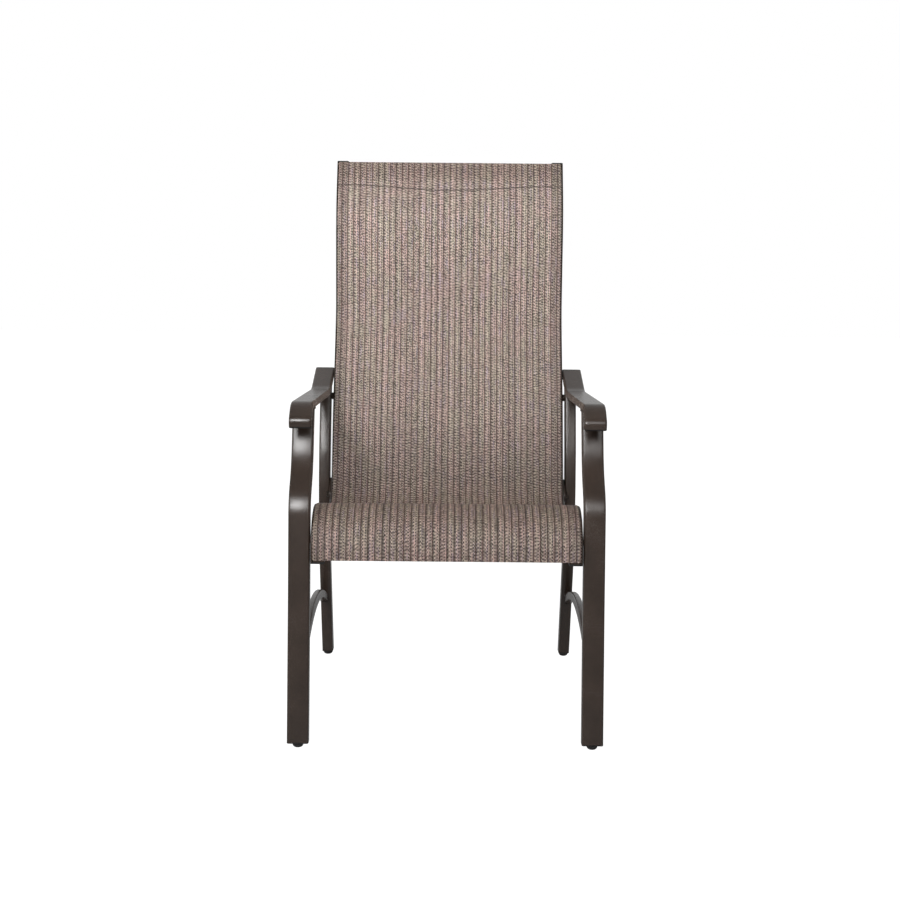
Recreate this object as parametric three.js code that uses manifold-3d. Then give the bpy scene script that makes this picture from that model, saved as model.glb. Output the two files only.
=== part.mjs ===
// Sling patio chair: two welded aluminium side frames carry a one-piece stretched fabric seat and back.
// Millimetres. X is across the chair, the sitter faces -Y and Z is up.
// Left is the -X side, which is on the left when the chair is seen from the front.
import * as THREE from 'three';
import { mergeVertices } from 'three/addons/utils/BufferGeometryUtils.js';
import Module from 'manifold-3d';

const wasm = await Module();
wasm.setup();

// Driving dimensions of the whole chair
const chair = {
  width: 599, // over the outer edges of the arms
  armHeight: 643, // top of the arms at their front roll
  seatHeight: 450, // crest of the seat's front roll
  seatDepth: 492, // front drop of the sling to the corner between seat and back
  backHeight: 1126, // top edge of the sling
  recline: 212.5, // how far the top of the back lies behind that corner
};
const fit = 0.3; // gap that is left between faces that touch
const overrun = 40; // how far a cutting solid passes what it cuts
const breakthrough = 1; // how far a drilled hole passes its wall

// Welded side frames
const frontLeg = {
  width: 41,
  thickness: 25,
  wall: 2,
  corner: 4,
  inset: 0.5, // outer face inside the arm's outer edge
  lean: 148.5, // front face at arm height behind the front face at the floor
  sabreRadius: 800,
  kneeRadius: 95, // lower bend of the crook below the arm
  neckRadius: 165, // upper bend of that crook
};
// Front face of the front leg from floor to arm: shares of its lean and of the arm height
const frontLegShares = [[0, 0], [0.229, 0.42], [0.364, 0.7325], [0.728, 0.8145], [1, 1]];

const rearLeg = {
  width: 24.5,
  depth: 34,
  wall: 2,
  corner: 4,
  inset: 14.5, // outer face inside the arm's outer edge
  footSetback: 92, // front face at the floor behind the leg's foremost point
  boltSetback: 4, // upper bolt behind the middle of the leg's depth
  sabreRadius: 400,
};
// Front face of the rear leg from floor to arm: shares of its setback and of the arm height
const rearLegShares = [[1, 0], [0.181, 0.366], [0, 0.599], [0.165, 0.762], [0.596, 1]];

const arm = {
  width: 43,
  thickness: 15,
  wall: 2,
  corner: 4,
  frontOverhang: 80, // corner of the nose ahead of the front leg's front face
  rearOverhang: 16, // rear end behind the rear leg
  noseRadius: 17,
  noseDrop: 27.5, // corner of the nose below the arm height, before it is rounded
  tipSetback: 6.6, // front end behind the corner of the nose
  drop: 41, // front end below the arm height
  crestRadius: 60,
  crestSetback: 38.5, // corner of the crest behind the corner of the nose
  crown: 4, // corner of the crest above the arm height, before it is rounded
  dip: 14, // lowest place of the top face below the arm height
  rise: 36, // rear end above that lowest place
  riseLength: 117,
  riseRadius: 120,
};

const stretcher = {
  width: 16,
  height: 18,
  wall: 1.6,
  corner: 4,
  inset: 1, // outer face inside the rear leg's outer face
  frontHeight: 142,
  rearHeight: 151,
  archHeight: 270, // corner of the arch before it is rounded
  archRadius: 690,
};
const archPlaceShare = 0.46; // place of the arch's corner between the two legs

// Sling frame: two curved rails held apart by three bowed bars
const rail = {
  width: 26,
  depth: 34,
  wall: 2,
  corner: 3,
  sideClearance: 0.8, // gap between a rail and the closest part of the side frame
  lip: 3.2, // metal outside the groove's mouth
  grooveMouth: 2.6,
  grooveNeck: 2.2,
  grooveRadius: 3.4,
  overhang: 3.5, // how far the rail runs past the fabric's front edge
};
const seat = {
  proud: 16.5, // front drop of the fabric ahead of the front leg
  frontRadius: 85,
  cornerRadius: 80,
  lumbarRadius: 600,
  shoulderRadius: 200,
  headRadius: 250,
};
// Fabric face of the seat: shares of the seat depth and of the seat height
const seatShares = [[0, 0.792], [0, 1.0444], [1, 0.8127]];
// Fabric face of the back: shares of the recline and of the height from the seat's crest to the top
const backShares = [[0.327, 0.2], [0.765, 0.4956], [0.7765, 0.836], [1, 1]];

const fabric = { thickness: 1.1 };
const hemRod = { play: 0.3 };

const spreader = { height: 10, depth: 19, bowDepth: 38, boreDepth: 24 };
// Places of the three bars along the rail, as shares of the fabric's length
const spreaderShares = { seat_front: 0.142, seat_rear: 0.358, back_top: 0.964 };

// End caps and feet
const railCap = { plate: 3.2, plug: 8 };
const armCap = { plate: 2.5, plug: 12 };
const legPlug = { flange: 1.8, length: 20 };
const glide = { radius: 10.5, height: 9, rim: 2.5, footRadius: 4, stemRadius: 4, stemLength: 15 };

// Fasteners between the rails, the legs and the bars
const bolt = { radius: 3, headRadius: 5.5, headHeight: 5, tail: 1.5 };
const nut = { radius: 6.4, height: 5, bore: 4 };
const screw = { radius: 2.5, headRadius: 5, headHeight: 4, grip: 18 };
const spacer = { radius: 7.5 };
const bracket = { radius: 12, climb: 20 };
const accessRadius = 6.5; // tool hole in the far wall of a rail
const upperBoltDrop = 38; // upper bolt below the arm height
const frontBoltShare = 0.867; // height of the front bolt as a share of the seat height
const lowerBoltShare = 0.878; // height of the lower rear bolt as a share of the seat height

// Fineness of bends, corners and turned pieces
const bendError = 0.6; // how far a bend's straight pieces may lie off its arc
const cornerSides = 2;
const grooveSides = 6;
const rodSides = 6;
const turnedSides = 10;
const glideSides = 16;
const domeSteps = 4;
const holeSides = 12;
const nutSides = 6;
const bowSteps = 12;

const finishes = {
  frame: { color: 0x4b443f, roughness: 0.42, metalness: 0.5 },
  rail: { color: 0x3f3935, roughness: 0.45, metalness: 0.5 },
  fabric: { color: 0xa2938b, roughness: 0.85, metalness: 0 },
  plastic: { color: 0x1b1a1a, roughness: 0.6, metalness: 0 },
  cord: { color: 0x8d857b, roughness: 0.7, metalness: 0 },
  steel: { color: 0xa7a9ab, roughness: 0.35, metalness: 0.9 },
};

// Places across the chair, as distances from its centre plane
const armOuter = chair.width / 2;
const armInner = armOuter - arm.width;
const frontLegOuter = armOuter - frontLeg.inset;
const frontLegInner = frontLegOuter - frontLeg.width;
const rearLegOuter = armOuter - rearLeg.inset;
const rearLegInner = rearLegOuter - rearLeg.width;
const stretcherOuter = rearLegOuter - stretcher.inset;
const stretcherInner = stretcherOuter - stretcher.width;
const railOuter = Math.min(armInner, frontLegInner, rearLegInner) - rail.sideClearance;
const railInner = railOuter - rail.width;
const grooveX = railOuter - rail.lip - rail.grooveMouth / 2;

// Levels in a rail's section, counted from the fabric's outer face towards the back of the rail
const railTop = -(fabric.thickness + fit);
const railBottom = railTop - rail.depth;
const grooveDrop = Math.sqrt(rail.grooveRadius ** 2 - (rail.grooveMouth / 2) ** 2);
const grooveY = railTop - rail.grooveNeck - grooveDrop;
const grooveFloor = grooveY - rail.grooveRadius - rail.wall;
const boltLine = grooveFloor - bolt.headRadius - fit;

const yAxis = new THREE.Vector3(0, 1, 0);
const towardsLeft = new THREE.Vector3(-1, 0, 0);

// A curve that stays in one plane, kept as stations with their directions, so that its sections never twist
class FlatCurve extends THREE.Curve {
  constructor(stations, planeNormal) {
    super();
    this.stations = stations;
    this.planeNormal = planeNormal;
    this.steps = stations.length - 1;
  }

  getPoint(t, target = new THREE.Vector3()) {
    const place = t * this.steps;
    const index = Math.min(Math.floor(place), this.steps - 1);
    return target.lerpVectors(this.stations[index].point, this.stations[index + 1].point, place - index);
  }

  getPointAt(u, target) {
    return this.getPoint(u, target);
  }

  computeFrenetFrames() {
    const tangents = this.stations.map((station) => station.direction.clone());
    const normals = tangents.map(() => this.planeNormal.clone());
    const binormals = tangents.map((tangent) => tangent.clone().cross(this.planeNormal));
    return { tangents, normals, binormals };
  }
}

// A route in the side view. A section's x is its distance from the centre plane on the left side,
// and its y points up from the arms, forwards from the legs and to the sitter from the sling.
function route(stations) {
  return new FlatCurve(stations, towardsLeft);
}

// Straight runs between corners [y, z, radius], each corner rounded as far as its runs allow
function roundedRoute(corners) {
  const points = corners.map(([y, z]) => new THREE.Vector3(0, y, z));
  const last = points.length - 1;
  const runs = points.slice(1).map((point, index) => point.clone().sub(points[index]));
  const headings = runs.map((run) => run.clone().normalize());
  const stations = [{ point: points[0], direction: headings[0] }];
  for (let index = 1; index < last; index += 1) {
    const [before, after] = [headings[index - 1], headings[index]];
    const turn = before.angleTo(after);
    const runBefore = runs[index - 1].length() / (index > 1 ? 2 : 1);
    const runAfter = runs[index].length() / (index < last - 1 ? 2 : 1);
    const reach = Math.min(corners[index][2] * Math.tan(turn / 2), runBefore, runAfter);
    const axis = before.clone().cross(after).normalize();
    const radius = reach / Math.tan(turn / 2);
    const start = points[index].clone().addScaledVector(before, -reach);
    const centre = start.clone().addScaledVector(axis.clone().cross(before), radius);
    const bendStep = 2 * Math.acos(1 - bendError / Math.max(radius, frontLeg.corner));
    const count = Math.max(2, Math.ceil(turn / bendStep));
    for (let step = 0; step <= count; step += 1) {
      const angle = (turn * step) / count;
      const point = start.clone().sub(centre).applyAxisAngle(axis, angle).add(centre);
      stations.push({ point, direction: before.clone().applyAxisAngle(axis, angle) });
    }
  }
  stations.push({ point: points[last], direction: headings[last - 1] });
  return route(stations);
}

// The same route made longer at its two ends
function extended(path, before, after) {
  const stations = path.stations.map(({ point, direction }) => ({ point: point.clone(), direction }));
  stations[0].point.addScaledVector(stations[0].direction, -before);
  stations.at(-1).point.addScaledVector(stations.at(-1).direction, after);
  return route(stations);
}

function reversedCopy(path) {
  const stations = path.stations.map(({ point, direction }) => ({ point, direction: direction.clone().negate() }));
  return route(stations.reverse());
}

function pathLength(path) {
  const lengths = path.stations.slice(1).map(({ point }, i) => point.distanceTo(path.stations[i].point));
  return lengths.reduce((sum, length) => sum + length, 0);
}

// Point and direction at a distance along a path
function stationAt(path, distance) {
  let travelled = 0;
  for (let index = 1; index <= path.steps; index += 1) {
    const [from, to] = [path.stations[index - 1], path.stations[index]];
    const length = to.point.distanceTo(from.point);
    if (travelled + length >= distance || index === path.steps) {
      const share = (distance - travelled) / length;
      return {
        point: from.point.clone().lerp(to.point, share),
        direction: from.direction.clone().lerp(to.direction, share).normalize(),
      };
    }
    travelled += length;
  }
  return path.stations[0];
}

// The first stretch of a path
function beginning(path, length) {
  let travelled = 0;
  const kept = [path.stations[0]];
  for (let index = 1; index < path.steps; index += 1) {
    travelled += path.stations[index].point.distanceTo(path.stations[index - 1].point);
    if (travelled >= length) break;
    kept.push(path.stations[index]);
  }
  return route([...kept, stationAt(path, length)]);
}

// Place beside a path: offset is counted along the section's y
function beside({ point, direction }, offset) {
  return direction.clone().cross(towardsLeft).multiplyScalar(offset).add(point);
}

// How far back the line beside a path lies at a height, where it last passes that height
function depthAtHeight(path, height, offset) {
  const line = path.stations.map((station) => beside(station, offset));
  for (let index = line.length - 1; index > 0; index -= 1) {
    const [from, to] = [line[index - 1], line[index]];
    if ((from.z - height) * (to.z - height) <= 0) {
      return THREE.MathUtils.mapLinear(height, from.z, to.z, from.y, to.y);
    }
  }
  throw new Error(`the route never passes height ${height}`);
}

function circlePoints(x, y, radius, sides, from = 0, sweep = 2 * Math.PI) {
  const count = sweep === 2 * Math.PI ? sides : sides + 1;
  return Array.from({ length: count }, (_, index) => {
    const angle = from + (sweep * index) / sides;
    return new THREE.Vector2(x + radius * Math.cos(angle), y + radius * Math.sin(angle));
  });
}

function roundedRectangle(x0, x1, y0, y1, radius) {
  const quarter = Math.PI / 2;
  const corners = [[x1 - radius, y1 - radius], [x0 + radius, y1 - radius]];
  corners.push([x0 + radius, y0 + radius], [x1 - radius, y0 + radius]);
  return corners.flatMap(([x, y], index) => circlePoints(x, y, radius, cornerSides, index * quarter, quarter));
}

function rectangle(x0, x1, y0, y1) {
  return [[x1, y1], [x0, y1], [x0, y0], [x1, y0]].map(([x, y]) => new THREE.Vector2(x, y));
}

// Extrusion of an outline with holes along a flat curve
function swept(path, outline, holes = []) {
  const shape = new THREE.Shape(outline);
  shape.holes = holes.map((hole) => new THREE.Path(hole));
  return new THREE.ExtrudeGeometry(shape, { steps: path.steps, extrudePath: path, bevelEnabled: false });
}

// Turned piece: profile [radius, height] about +Z
function turned(profile, sides) {
  const points = profile.map(([radius, height]) => new THREE.Vector2(radius, height));
  return new THREE.LatheGeometry(points, sides).rotateX(Math.PI / 2);
}

function box(x0, x1, y0, y1, z0, z1) {
  const geometry = new THREE.BoxGeometry(x1 - x0, y1 - y0, z1 - z0);
  return geometry.translate((x0 + x1) / 2, (y0 + y1) / 2, (z0 + z1) / 2);
}

// Round cutter across the chair on the left side, between two distances from the centre plane
function crossHole(radius, nearX, farX, place) {
  const geometry = new THREE.CylinderGeometry(radius, radius, farX - nearX, holeSides).rotateZ(Math.PI / 2);
  return geometry.translate(-(nearX + farX) / 2, place.y, place.z);
}

function solid(geometry) {
  const bare = geometry.clone();
  bare.deleteAttribute('normal');
  bare.deleteAttribute('uv');
  const merged = mergeVertices(bare);
  const vertProperties = Float32Array.from(merged.attributes.position.array);
  const triVerts = Uint32Array.from(merged.index.array);
  return new wasm.Manifold(new wasm.Mesh({ numProp: 3, vertProperties, triVerts }));
}

function cut(piece, cutters) {
  return cutters.reduce((rest, cutter) => rest.subtract(solid(cutter)), piece);
}

function geometryOf(piece) {
  const { vertProperties, triVerts } = piece.getMesh();
  const geometry = new THREE.BufferGeometry();
  geometry.setAttribute('position', new THREE.BufferAttribute(Float32Array.from(vertProperties), 3));
  geometry.setIndex(new THREE.BufferAttribute(Uint32Array.from(triVerts), 1));
  return geometry;
}

function mirrored(geometry) {
  const copy = geometry.clone().scale(-1, 1, 1);
  const order = Array.from({ length: copy.index ? copy.index.count : copy.attributes.position.count }, (_, i) =>
    copy.index ? copy.index.array[i] : i);
  for (let i = 0; i < order.length; i += 3) [order[i], order[i + 1]] = [order[i + 1], order[i]];
  copy.setIndex(order);
  return copy;
}

const model = new THREE.Group();

function add(name, geometry, finish) {
  const mesh = new THREE.Mesh(geometry, new THREE.MeshStandardMaterial(finishes[finish]));
  mesh.name = name;
  mesh.geometry.computeVertexNormals();
  model.add(mesh);
}

function addPair(name, geometry, finish) {
  add(`${name}_left`, geometry, finish);
  add(`${name}_right`, mirrored(geometry), finish);
}

// Routes of the side frame and the sling
const frontLegRadii = [0, frontLeg.sabreRadius, frontLeg.kneeRadius, frontLeg.neckRadius, 0];
const frontLegRoute = roundedRoute(frontLegShares.map(([along, up], index) => [
  along * frontLeg.lean, up * chair.armHeight, frontLegRadii[index]]));

const frontBoltHeight = frontBoltShare * chair.seatHeight;
const seatFront = depthAtHeight(frontLegRoute, frontBoltHeight, 0) - seat.proud;
const slingRoute = roundedRoute([
  ...seatShares.map(([along, up], index) => [
    seatFront + along * chair.seatDepth, up * chair.seatHeight, [0, seat.frontRadius, seat.cornerRadius][index]]),
  ...backShares.map(([along, up], index) => [
    seatFront + chair.seatDepth + along * chair.recline,
    chair.seatHeight + up * (chair.backHeight - chair.seatHeight),
    [seat.lumbarRadius, seat.shoulderRadius, seat.headRadius, 0][index]]),
]);
const railRoute = extended(slingRoute, rail.overhang, 0);

// The rear leg stands where the upper bolt in the rail meets it a little behind its middle,
// and behind the nut of the lower bolt
const upperBoltHeight = chair.armHeight - upperBoltDrop;
const upperBoltY = depthAtHeight(slingRoute, upperBoltHeight, boltLine);
function rearLegAt(foremost) {
  return roundedRoute(rearLegShares.map(([along, up], index) => [
    foremost + along * rearLeg.footSetback, up * chair.armHeight, index % 4 === 0 ? 0 : rearLeg.sabreRadius]));
}
const rearLegMiddle = depthAtHeight(rearLegAt(0), upperBoltHeight, -rearLeg.depth / 2 - rearLeg.boltSetback);
const lowerBoltHeight = lowerBoltShare * chair.seatHeight;
const lowerBoltY = depthAtHeight(slingRoute, lowerBoltHeight, boltLine);
const rearLegRoute = rearLegAt(Math.max(upperBoltY - rearLegMiddle, lowerBoltY + nut.radius + 2 * fit));

const armFront = frontLeg.lean - arm.frontOverhang;
const armRear = beside(rearLegRoute.stations.at(-1), -rearLeg.depth).y + arm.rearOverhang;
const armRoute = roundedRoute([
  [armFront + arm.tipSetback, chair.armHeight - arm.drop, 0],
  [armFront, chair.armHeight - arm.noseDrop, arm.noseRadius],
  [armFront + arm.crestSetback, chair.armHeight + arm.crown, arm.crestRadius],
  [armRear - arm.riseLength, chair.armHeight - arm.dip, arm.riseRadius],
  [armRear, chair.armHeight - arm.dip + arm.rise, 0],
]);

// Sections: x is the distance from the centre plane, y is 0 on the face that the route follows
function tubeSections(inner, outer, thickness, corner, wall) {
  return {
    outline: roundedRectangle(inner, outer, -thickness, 0, corner),
    bore: rectangle(inner + wall, outer - wall, -thickness + wall, -wall),
    plug: rectangle(inner + wall + fit, outer - wall - fit, -thickness + wall + fit, -wall - fit),
    swollen: roundedRectangle(inner - fit, outer + fit, -thickness - fit, fit, corner + fit),
  };
}
const frontLegSections = tubeSections(frontLegInner, frontLegOuter, frontLeg.thickness, frontLeg.corner,
  frontLeg.wall);
const rearLegSections = tubeSections(rearLegInner, rearLegOuter, rearLeg.depth, rearLeg.corner, rearLeg.wall);
const armSections = tubeSections(armInner, armOuter, arm.thickness, arm.corner, arm.wall);
const stretcherSections = tubeSections(stretcherInner, stretcherOuter, stretcher.height, stretcher.corner,
  stretcher.wall);

function railSections() {
  const gape = Math.asin(rail.grooveMouth / 2 / rail.grooveRadius);
  const roundTheGroove = circlePoints(grooveX, grooveY, rail.grooveRadius, grooveSides,
    Math.PI / 2 - gape, -2 * (Math.PI - gape));
  const whole = roundedRectangle(railInner, railOuter, railBottom, railTop, rail.corner);
  const quarter = cornerSides + 1;
  const mouth = [grooveX + rail.grooveMouth / 2, grooveX - rail.grooveMouth / 2]
    .map((x) => new THREE.Vector2(x, railTop));
  const outline = [...whole.slice(0, quarter), mouth[0], ...roundTheGroove, mouth[1], ...whole.slice(quarter)];
  const hollow = (gap) => [
    [railInner + rail.wall + gap, railBottom + rail.wall + gap],
    [railOuter - rail.wall - gap, railBottom + rail.wall + gap],
    [railOuter - rail.wall - gap, grooveFloor - gap],
    [grooveX - rail.grooveRadius - rail.wall - gap, grooveFloor - gap],
    [grooveX - rail.grooveRadius - rail.wall - gap, railTop - rail.wall - gap],
    [railInner + rail.wall + gap, railTop - rail.wall - gap],
  ].map(([x, y]) => new THREE.Vector2(x, y));
  return { outline, whole, bore: hollow(0), plug: hollow(fit) };
}

// End cap of a tube: a plate over the tube's end and a plug inside it, at the beginning of its route
function endCap(path, plateOutline, plugOutline, plate, plug) {
  const plateRoute = beginning(extended(path, plate + fit, 0), plate);
  const plugRoute = beginning(extended(path, plate / 2 + fit, 0), plate / 2 + fit + plug);
  return geometryOf(solid(swept(plateRoute, plateOutline)).add(solid(swept(plugRoute, plugOutline))));
}

// The same at the end of a route, whose direction is turned round for it
function farEndCap(path, plateOutline, plugOutline, plate, plug) {
  const flip = (outline) => outline.map(({ x, y }) => new THREE.Vector2(x, -y)).reverse();
  return endCap(reversedCopy(path), flip(plateOutline), flip(plugOutline), plate, plug);
}

// Fasteners of the left side, each with the place where it crosses the side view
const boltPlaces = {
  front: { y: depthAtHeight(frontLegRoute, frontBoltHeight, -frontLeg.thickness / 2), z: frontBoltHeight },
  rear_upper: { y: upperBoltY, z: upperBoltHeight },
  rear_lower: { y: lowerBoltY, z: lowerBoltHeight },
};
const slingLength = pathLength(slingRoute);
const spreaderStations = Object.entries(spreaderShares)
  .map(([name, share]) => ({ name, ...stationAt(slingRoute, share * slingLength) }));
const boltHole = bolt.radius + fit;
const screwHole = screw.radius + fit;

function makeSideFrame() {
  const legBottom = glide.height + legPlug.flange + 2 * fit;
  const floorCut = (outer) => box(-outer - overrun, 0, -overrun, chair.seatDepth * 2, -overrun * 2, legBottom);
  const armCutter = swept(extended(armRoute, 0, overrun), rectangle(
    armInner - overrun, armOuter + overrun, -arm.thickness - fit, overrun));
  const legHole = (inner, wall, place) => crossHole(boltHole, inner - breakthrough,
    inner + wall + breakthrough, place);

  const front = solid(swept(extended(frontLegRoute, overrun, overrun / 2), frontLegSections.outline,
    [frontLegSections.bore]));
  addPair('front_leg', geometryOf(cut(front, [
    floorCut(frontLegOuter), armCutter, legHole(frontLegInner, frontLeg.wall, boltPlaces.front)])), 'frame');

  const rear = solid(swept(extended(rearLegRoute, overrun, overrun / 2), rearLegSections.outline,
    [rearLegSections.bore]));
  addPair('rear_leg', geometryOf(cut(rear, [
    floorCut(rearLegOuter), armCutter, legHole(rearLegInner, rearLeg.wall, boltPlaces.rear_upper)])), 'frame');

  addPair('arm', swept(armRoute, armSections.outline, [armSections.bore]), 'frame');

  const frontEnd = depthAtHeight(frontLegRoute, stretcher.frontHeight, -frontLeg.thickness / 2);
  const rearEnd = depthAtHeight(rearLegRoute, stretcher.rearHeight, -rearLeg.depth / 2);
  const archRoute = roundedRoute([
    [frontEnd, stretcher.frontHeight, 0],
    [frontEnd + archPlaceShare * (rearEnd - frontEnd), stretcher.archHeight, stretcher.archRadius],
    [rearEnd, stretcher.rearHeight, 0],
  ]);
  const legEnvelopes = [
    swept(extended(frontLegRoute, overrun, 0), frontLegSections.swollen),
    swept(extended(rearLegRoute, overrun, 0), rearLegSections.swollen),
  ];
  const arch = solid(swept(archRoute, stretcherSections.outline, [stretcherSections.bore]));
  addPair('side_stretcher', geometryOf(cut(arch, legEnvelopes)), 'frame');
}

function makeSlingFrame() {
  const sections = railSections();
  const boltCuts = Object.values(boltPlaces).flatMap((place) => [
    crossHole(boltHole, railOuter - rail.wall - breakthrough, railOuter + breakthrough, place),
    crossHole(accessRadius, railInner - breakthrough, railInner + rail.wall + breakthrough, place),
  ]);
  const screwCuts = spreaderStations.map((station) => beside(station, boltLine)).flatMap((place) => [
    crossHole(screwHole, railInner - breakthrough, railInner + rail.wall + breakthrough, place),
    crossHole(accessRadius, railOuter - rail.wall - breakthrough, railOuter + breakthrough, place),
  ]);
  const body = solid(swept(railRoute, sections.outline, [sections.bore]));
  addPair('sling_rail', geometryOf(cut(body, [...boltCuts, ...screwCuts])), 'rail');
  addPair('rail_cap_front', endCap(railRoute, sections.whole, sections.plug, railCap.plate, railCap.plug),
    'plastic');
  addPair('rail_cap_top', farEndCap(railRoute, sections.whole, sections.plug, railCap.plate, railCap.plug),
    'plastic');
}

// Bowed bar between the rails, whose middle lies further from the sitter than its ends
function makeSpreader({ name, point, direction }) {
  const end = railInner - fit;
  const away = direction.clone().cross(towardsLeft).negate();
  const line = Array.from({ length: bowSteps + 1 }, (_, index) => {
    const across = THREE.MathUtils.lerp(-end, end, index / bowSteps);
    const bow = spreader.bowDepth * (1 + Math.cos(Math.PI * across / end)) / 2;
    const slope = -spreader.bowDepth * Math.PI * Math.sin(Math.PI * across / end) / (2 * end);
    const place = point.clone().addScaledVector(away, bow - boltLine);
    place.x = across;
    const heading = new THREE.Vector3(1, 0, 0).addScaledVector(away, slope).normalize();
    return { point: place, direction: heading };
  });
  const halfHeight = spreader.height / 2;
  const halfDepth = spreader.depth / 2;
  const outline = roundedRectangle(-halfHeight, halfHeight, -halfDepth, halfDepth, halfHeight - fit);
  const bar = solid(swept(new FlatCurve(line, direction), outline));
  const bore = crossHole(screwHole, end - spreader.boreDepth, end + breakthrough, line[0].point);
  add(`spreader_${name}`, geometryOf(cut(bar, [bore, mirrored(bore)])), 'rail');
}

// Fabric that enters both rails' grooves and is folded round a rod in each
function makeSling() {
  const half = fabric.thickness / 2;
  const loopRadius = rail.grooveRadius - fit;
  const rodHole = loopRadius - fabric.thickness;
  const gape = Math.asin(half / loopRadius);
  const edge = circlePoints(grooveX, grooveY, loopRadius, grooveSides, Math.PI / 2 - gape,
    -2 * (Math.PI - gape));
  const leftHalf = [
    new THREE.Vector2(grooveX + half, 0), ...edge, new THREE.Vector2(grooveX - half, -fabric.thickness)];
  const rightHalf = leftHalf.map(({ x, y }) => new THREE.Vector2(-x, y)).reverse();
  const rodHoles = [grooveX, -grooveX].map((x) => circlePoints(x, grooveY, rodHole, rodSides));
  add('sling', swept(slingRoute, [...leftHalf, ...rightHalf], rodHoles), 'fabric');
  addPair('hem_rod', swept(slingRoute, circlePoints(grooveX, grooveY, rodHole - hemRod.play, rodSides)), 'cord');
}

function makeArmCaps() {
  const { outline, plug } = armSections;
  addPair('arm_cap_front', endCap(armRoute, outline, plug, armCap.plate, armCap.plug), 'plastic');
  addPair('arm_cap_rear', farEndCap(armRoute, outline, plug, armCap.plate, armCap.plug), 'plastic');
}

// Plug in a leg's lower end and the screwed glide that it holds
function makeFoot(name, path, sections, inner, outer, depth) {
  const flangeBottom = glide.height + fit;
  const flangeTop = flangeBottom + legPlug.flange;
  const middle = { x: -(inner + outer) / 2, y: depthAtHeight(extended(path, overrun, 0), flangeTop, -depth / 2) };
  const level = (z0, z1) => solid(box(-outer - overrun, 0, middle.y - depth - overrun,
    middle.y + depth + overrun, z0, z1));
  const flange = solid(swept(beginning(extended(path, overrun, 0), overrun * 2), sections.outline))
    .intersect(level(flangeBottom, flangeTop));
  const body = solid(swept(beginning(extended(path, overrun, 0), overrun * 2), sections.plug))
    .intersect(level(flangeBottom, flangeTop + legPlug.length));
  const bore = turned([[0, 0], [glide.stemRadius + fit, 0],
    [glide.stemRadius + fit, overrun * 2], [0, overrun * 2]], turnedSides);
  const plug = flange.add(body).subtract(solid(bore.translate(middle.x, middle.y, 0)));
  addPair(`${name}_plug`, geometryOf(plug), 'plastic');

  const dome = Array.from({ length: domeSteps + 1 }, (_, index) => {
    const angle = (Math.PI * index) / (2 * domeSteps);
    return [
      glide.footRadius + (glide.radius - glide.footRadius) * Math.sin(angle),
      (glide.height - glide.rim) * (1 - Math.cos(angle)),
    ];
  });
  const pad = turned([[0, 0], ...dome, [glide.radius, glide.height],
    [glide.stemRadius, glide.height], [glide.stemRadius, glide.height + glide.stemLength],
    [0, glide.height + glide.stemLength]], glideSides);
  addPair(`${name}_glide`, pad.translate(middle.x, middle.y, 0), 'plastic');
}

// Headed fastener that starts at a distance from the centre plane and points outwards or inwards
function headed({ radius, headRadius, headHeight }, shank, startX, place, outwards) {
  const pin = turned([[0, 0], [headRadius, 0], [headRadius, headHeight], [radius, headHeight],
    [radius, headHeight + shank], [0, headHeight + shank]], turnedSides);
  return pin.rotateY(outwards ? -Math.PI / 2 : Math.PI / 2).translate(-startX, place.y, place.z);
}

// Ring across the chair, such as a spacer or a nut
function ring(innerRadius, outerRadius, nearX, farX, place, sides) {
  const width = farX - nearX;
  const profile = [[innerRadius, 0], [outerRadius, 0], [outerRadius, width], [innerRadius, width],
    [innerRadius, 0]];
  return turned(profile, sides).rotateY(-Math.PI / 2).translate(-nearX, place.y, place.z);
}

function makeRailBolt(name, place, seatX, wall) {
  const headStart = railOuter - rail.wall - fit - bolt.headHeight;
  const nutStart = seatX + wall + fit;
  const shank = nutStart + nut.height + bolt.tail - headStart - bolt.headHeight;
  addPair(`rail_bolt_${name}`, headed(bolt, shank, headStart, place, true), 'steel');
  addPair(`rail_nut_${name}`, ring(nut.bore, nut.radius, nutStart, nutStart + nut.height, place, nutSides),
    'steel');
}

function makeRailFixings() {
  makeRailBolt('front', boltPlaces.front, frontLegInner, frontLeg.wall);
  makeRailBolt('rear_upper', boltPlaces.rear_upper, rearLegInner, rearLeg.wall);
  makeRailBolt('rear_lower', boltPlaces.rear_lower, rearLegInner - fit, 0);
  addPair('rail_spacer_front', ring(boltHole, spacer.radius, railOuter + fit, frontLegInner - fit,
    boltPlaces.front, turnedSides), 'steel');
  addPair('rail_spacer_rear', ring(boltHole, spacer.radius, railOuter + fit, rearLegInner - fit,
    boltPlaces.rear_upper, turnedSides), 'steel');
}

// Flat plate welded to the rear leg's inner face, which carries the rail at the corner of the seat
function makeRailBracket() {
  const start = boltPlaces.rear_lower;
  const endZ = start.z + bracket.climb;
  const endY = depthAtHeight(rearLegRoute, endZ, -rearLeg.depth / 2);
  const tilt = Math.atan2(endZ - start.z, endY - start.y);
  const outline = [
    ...circlePoints(endY, endZ, bracket.radius, rodSides, tilt - Math.PI / 2, Math.PI),
    ...circlePoints(start.y, start.z, bracket.radius, rodSides, tilt + Math.PI / 2, Math.PI),
  ];
  const shape = new THREE.Shape(outline);
  shape.holes = [new THREE.Path(circlePoints(start.y, start.z, boltHole, holeSides))];
  const depth = rearLegInner - railOuter - 2 * fit;
  const plate = new THREE.ExtrudeGeometry(shape, { depth, bevelEnabled: false });
  const turn = new THREE.Matrix4().makeBasis(yAxis, new THREE.Vector3(0, 0, 1), new THREE.Vector3(1, 0, 0));
  addPair('rail_bracket', plate.applyMatrix4(turn).translate(-rearLegInner + fit, 0, 0), 'frame');
}

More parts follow.
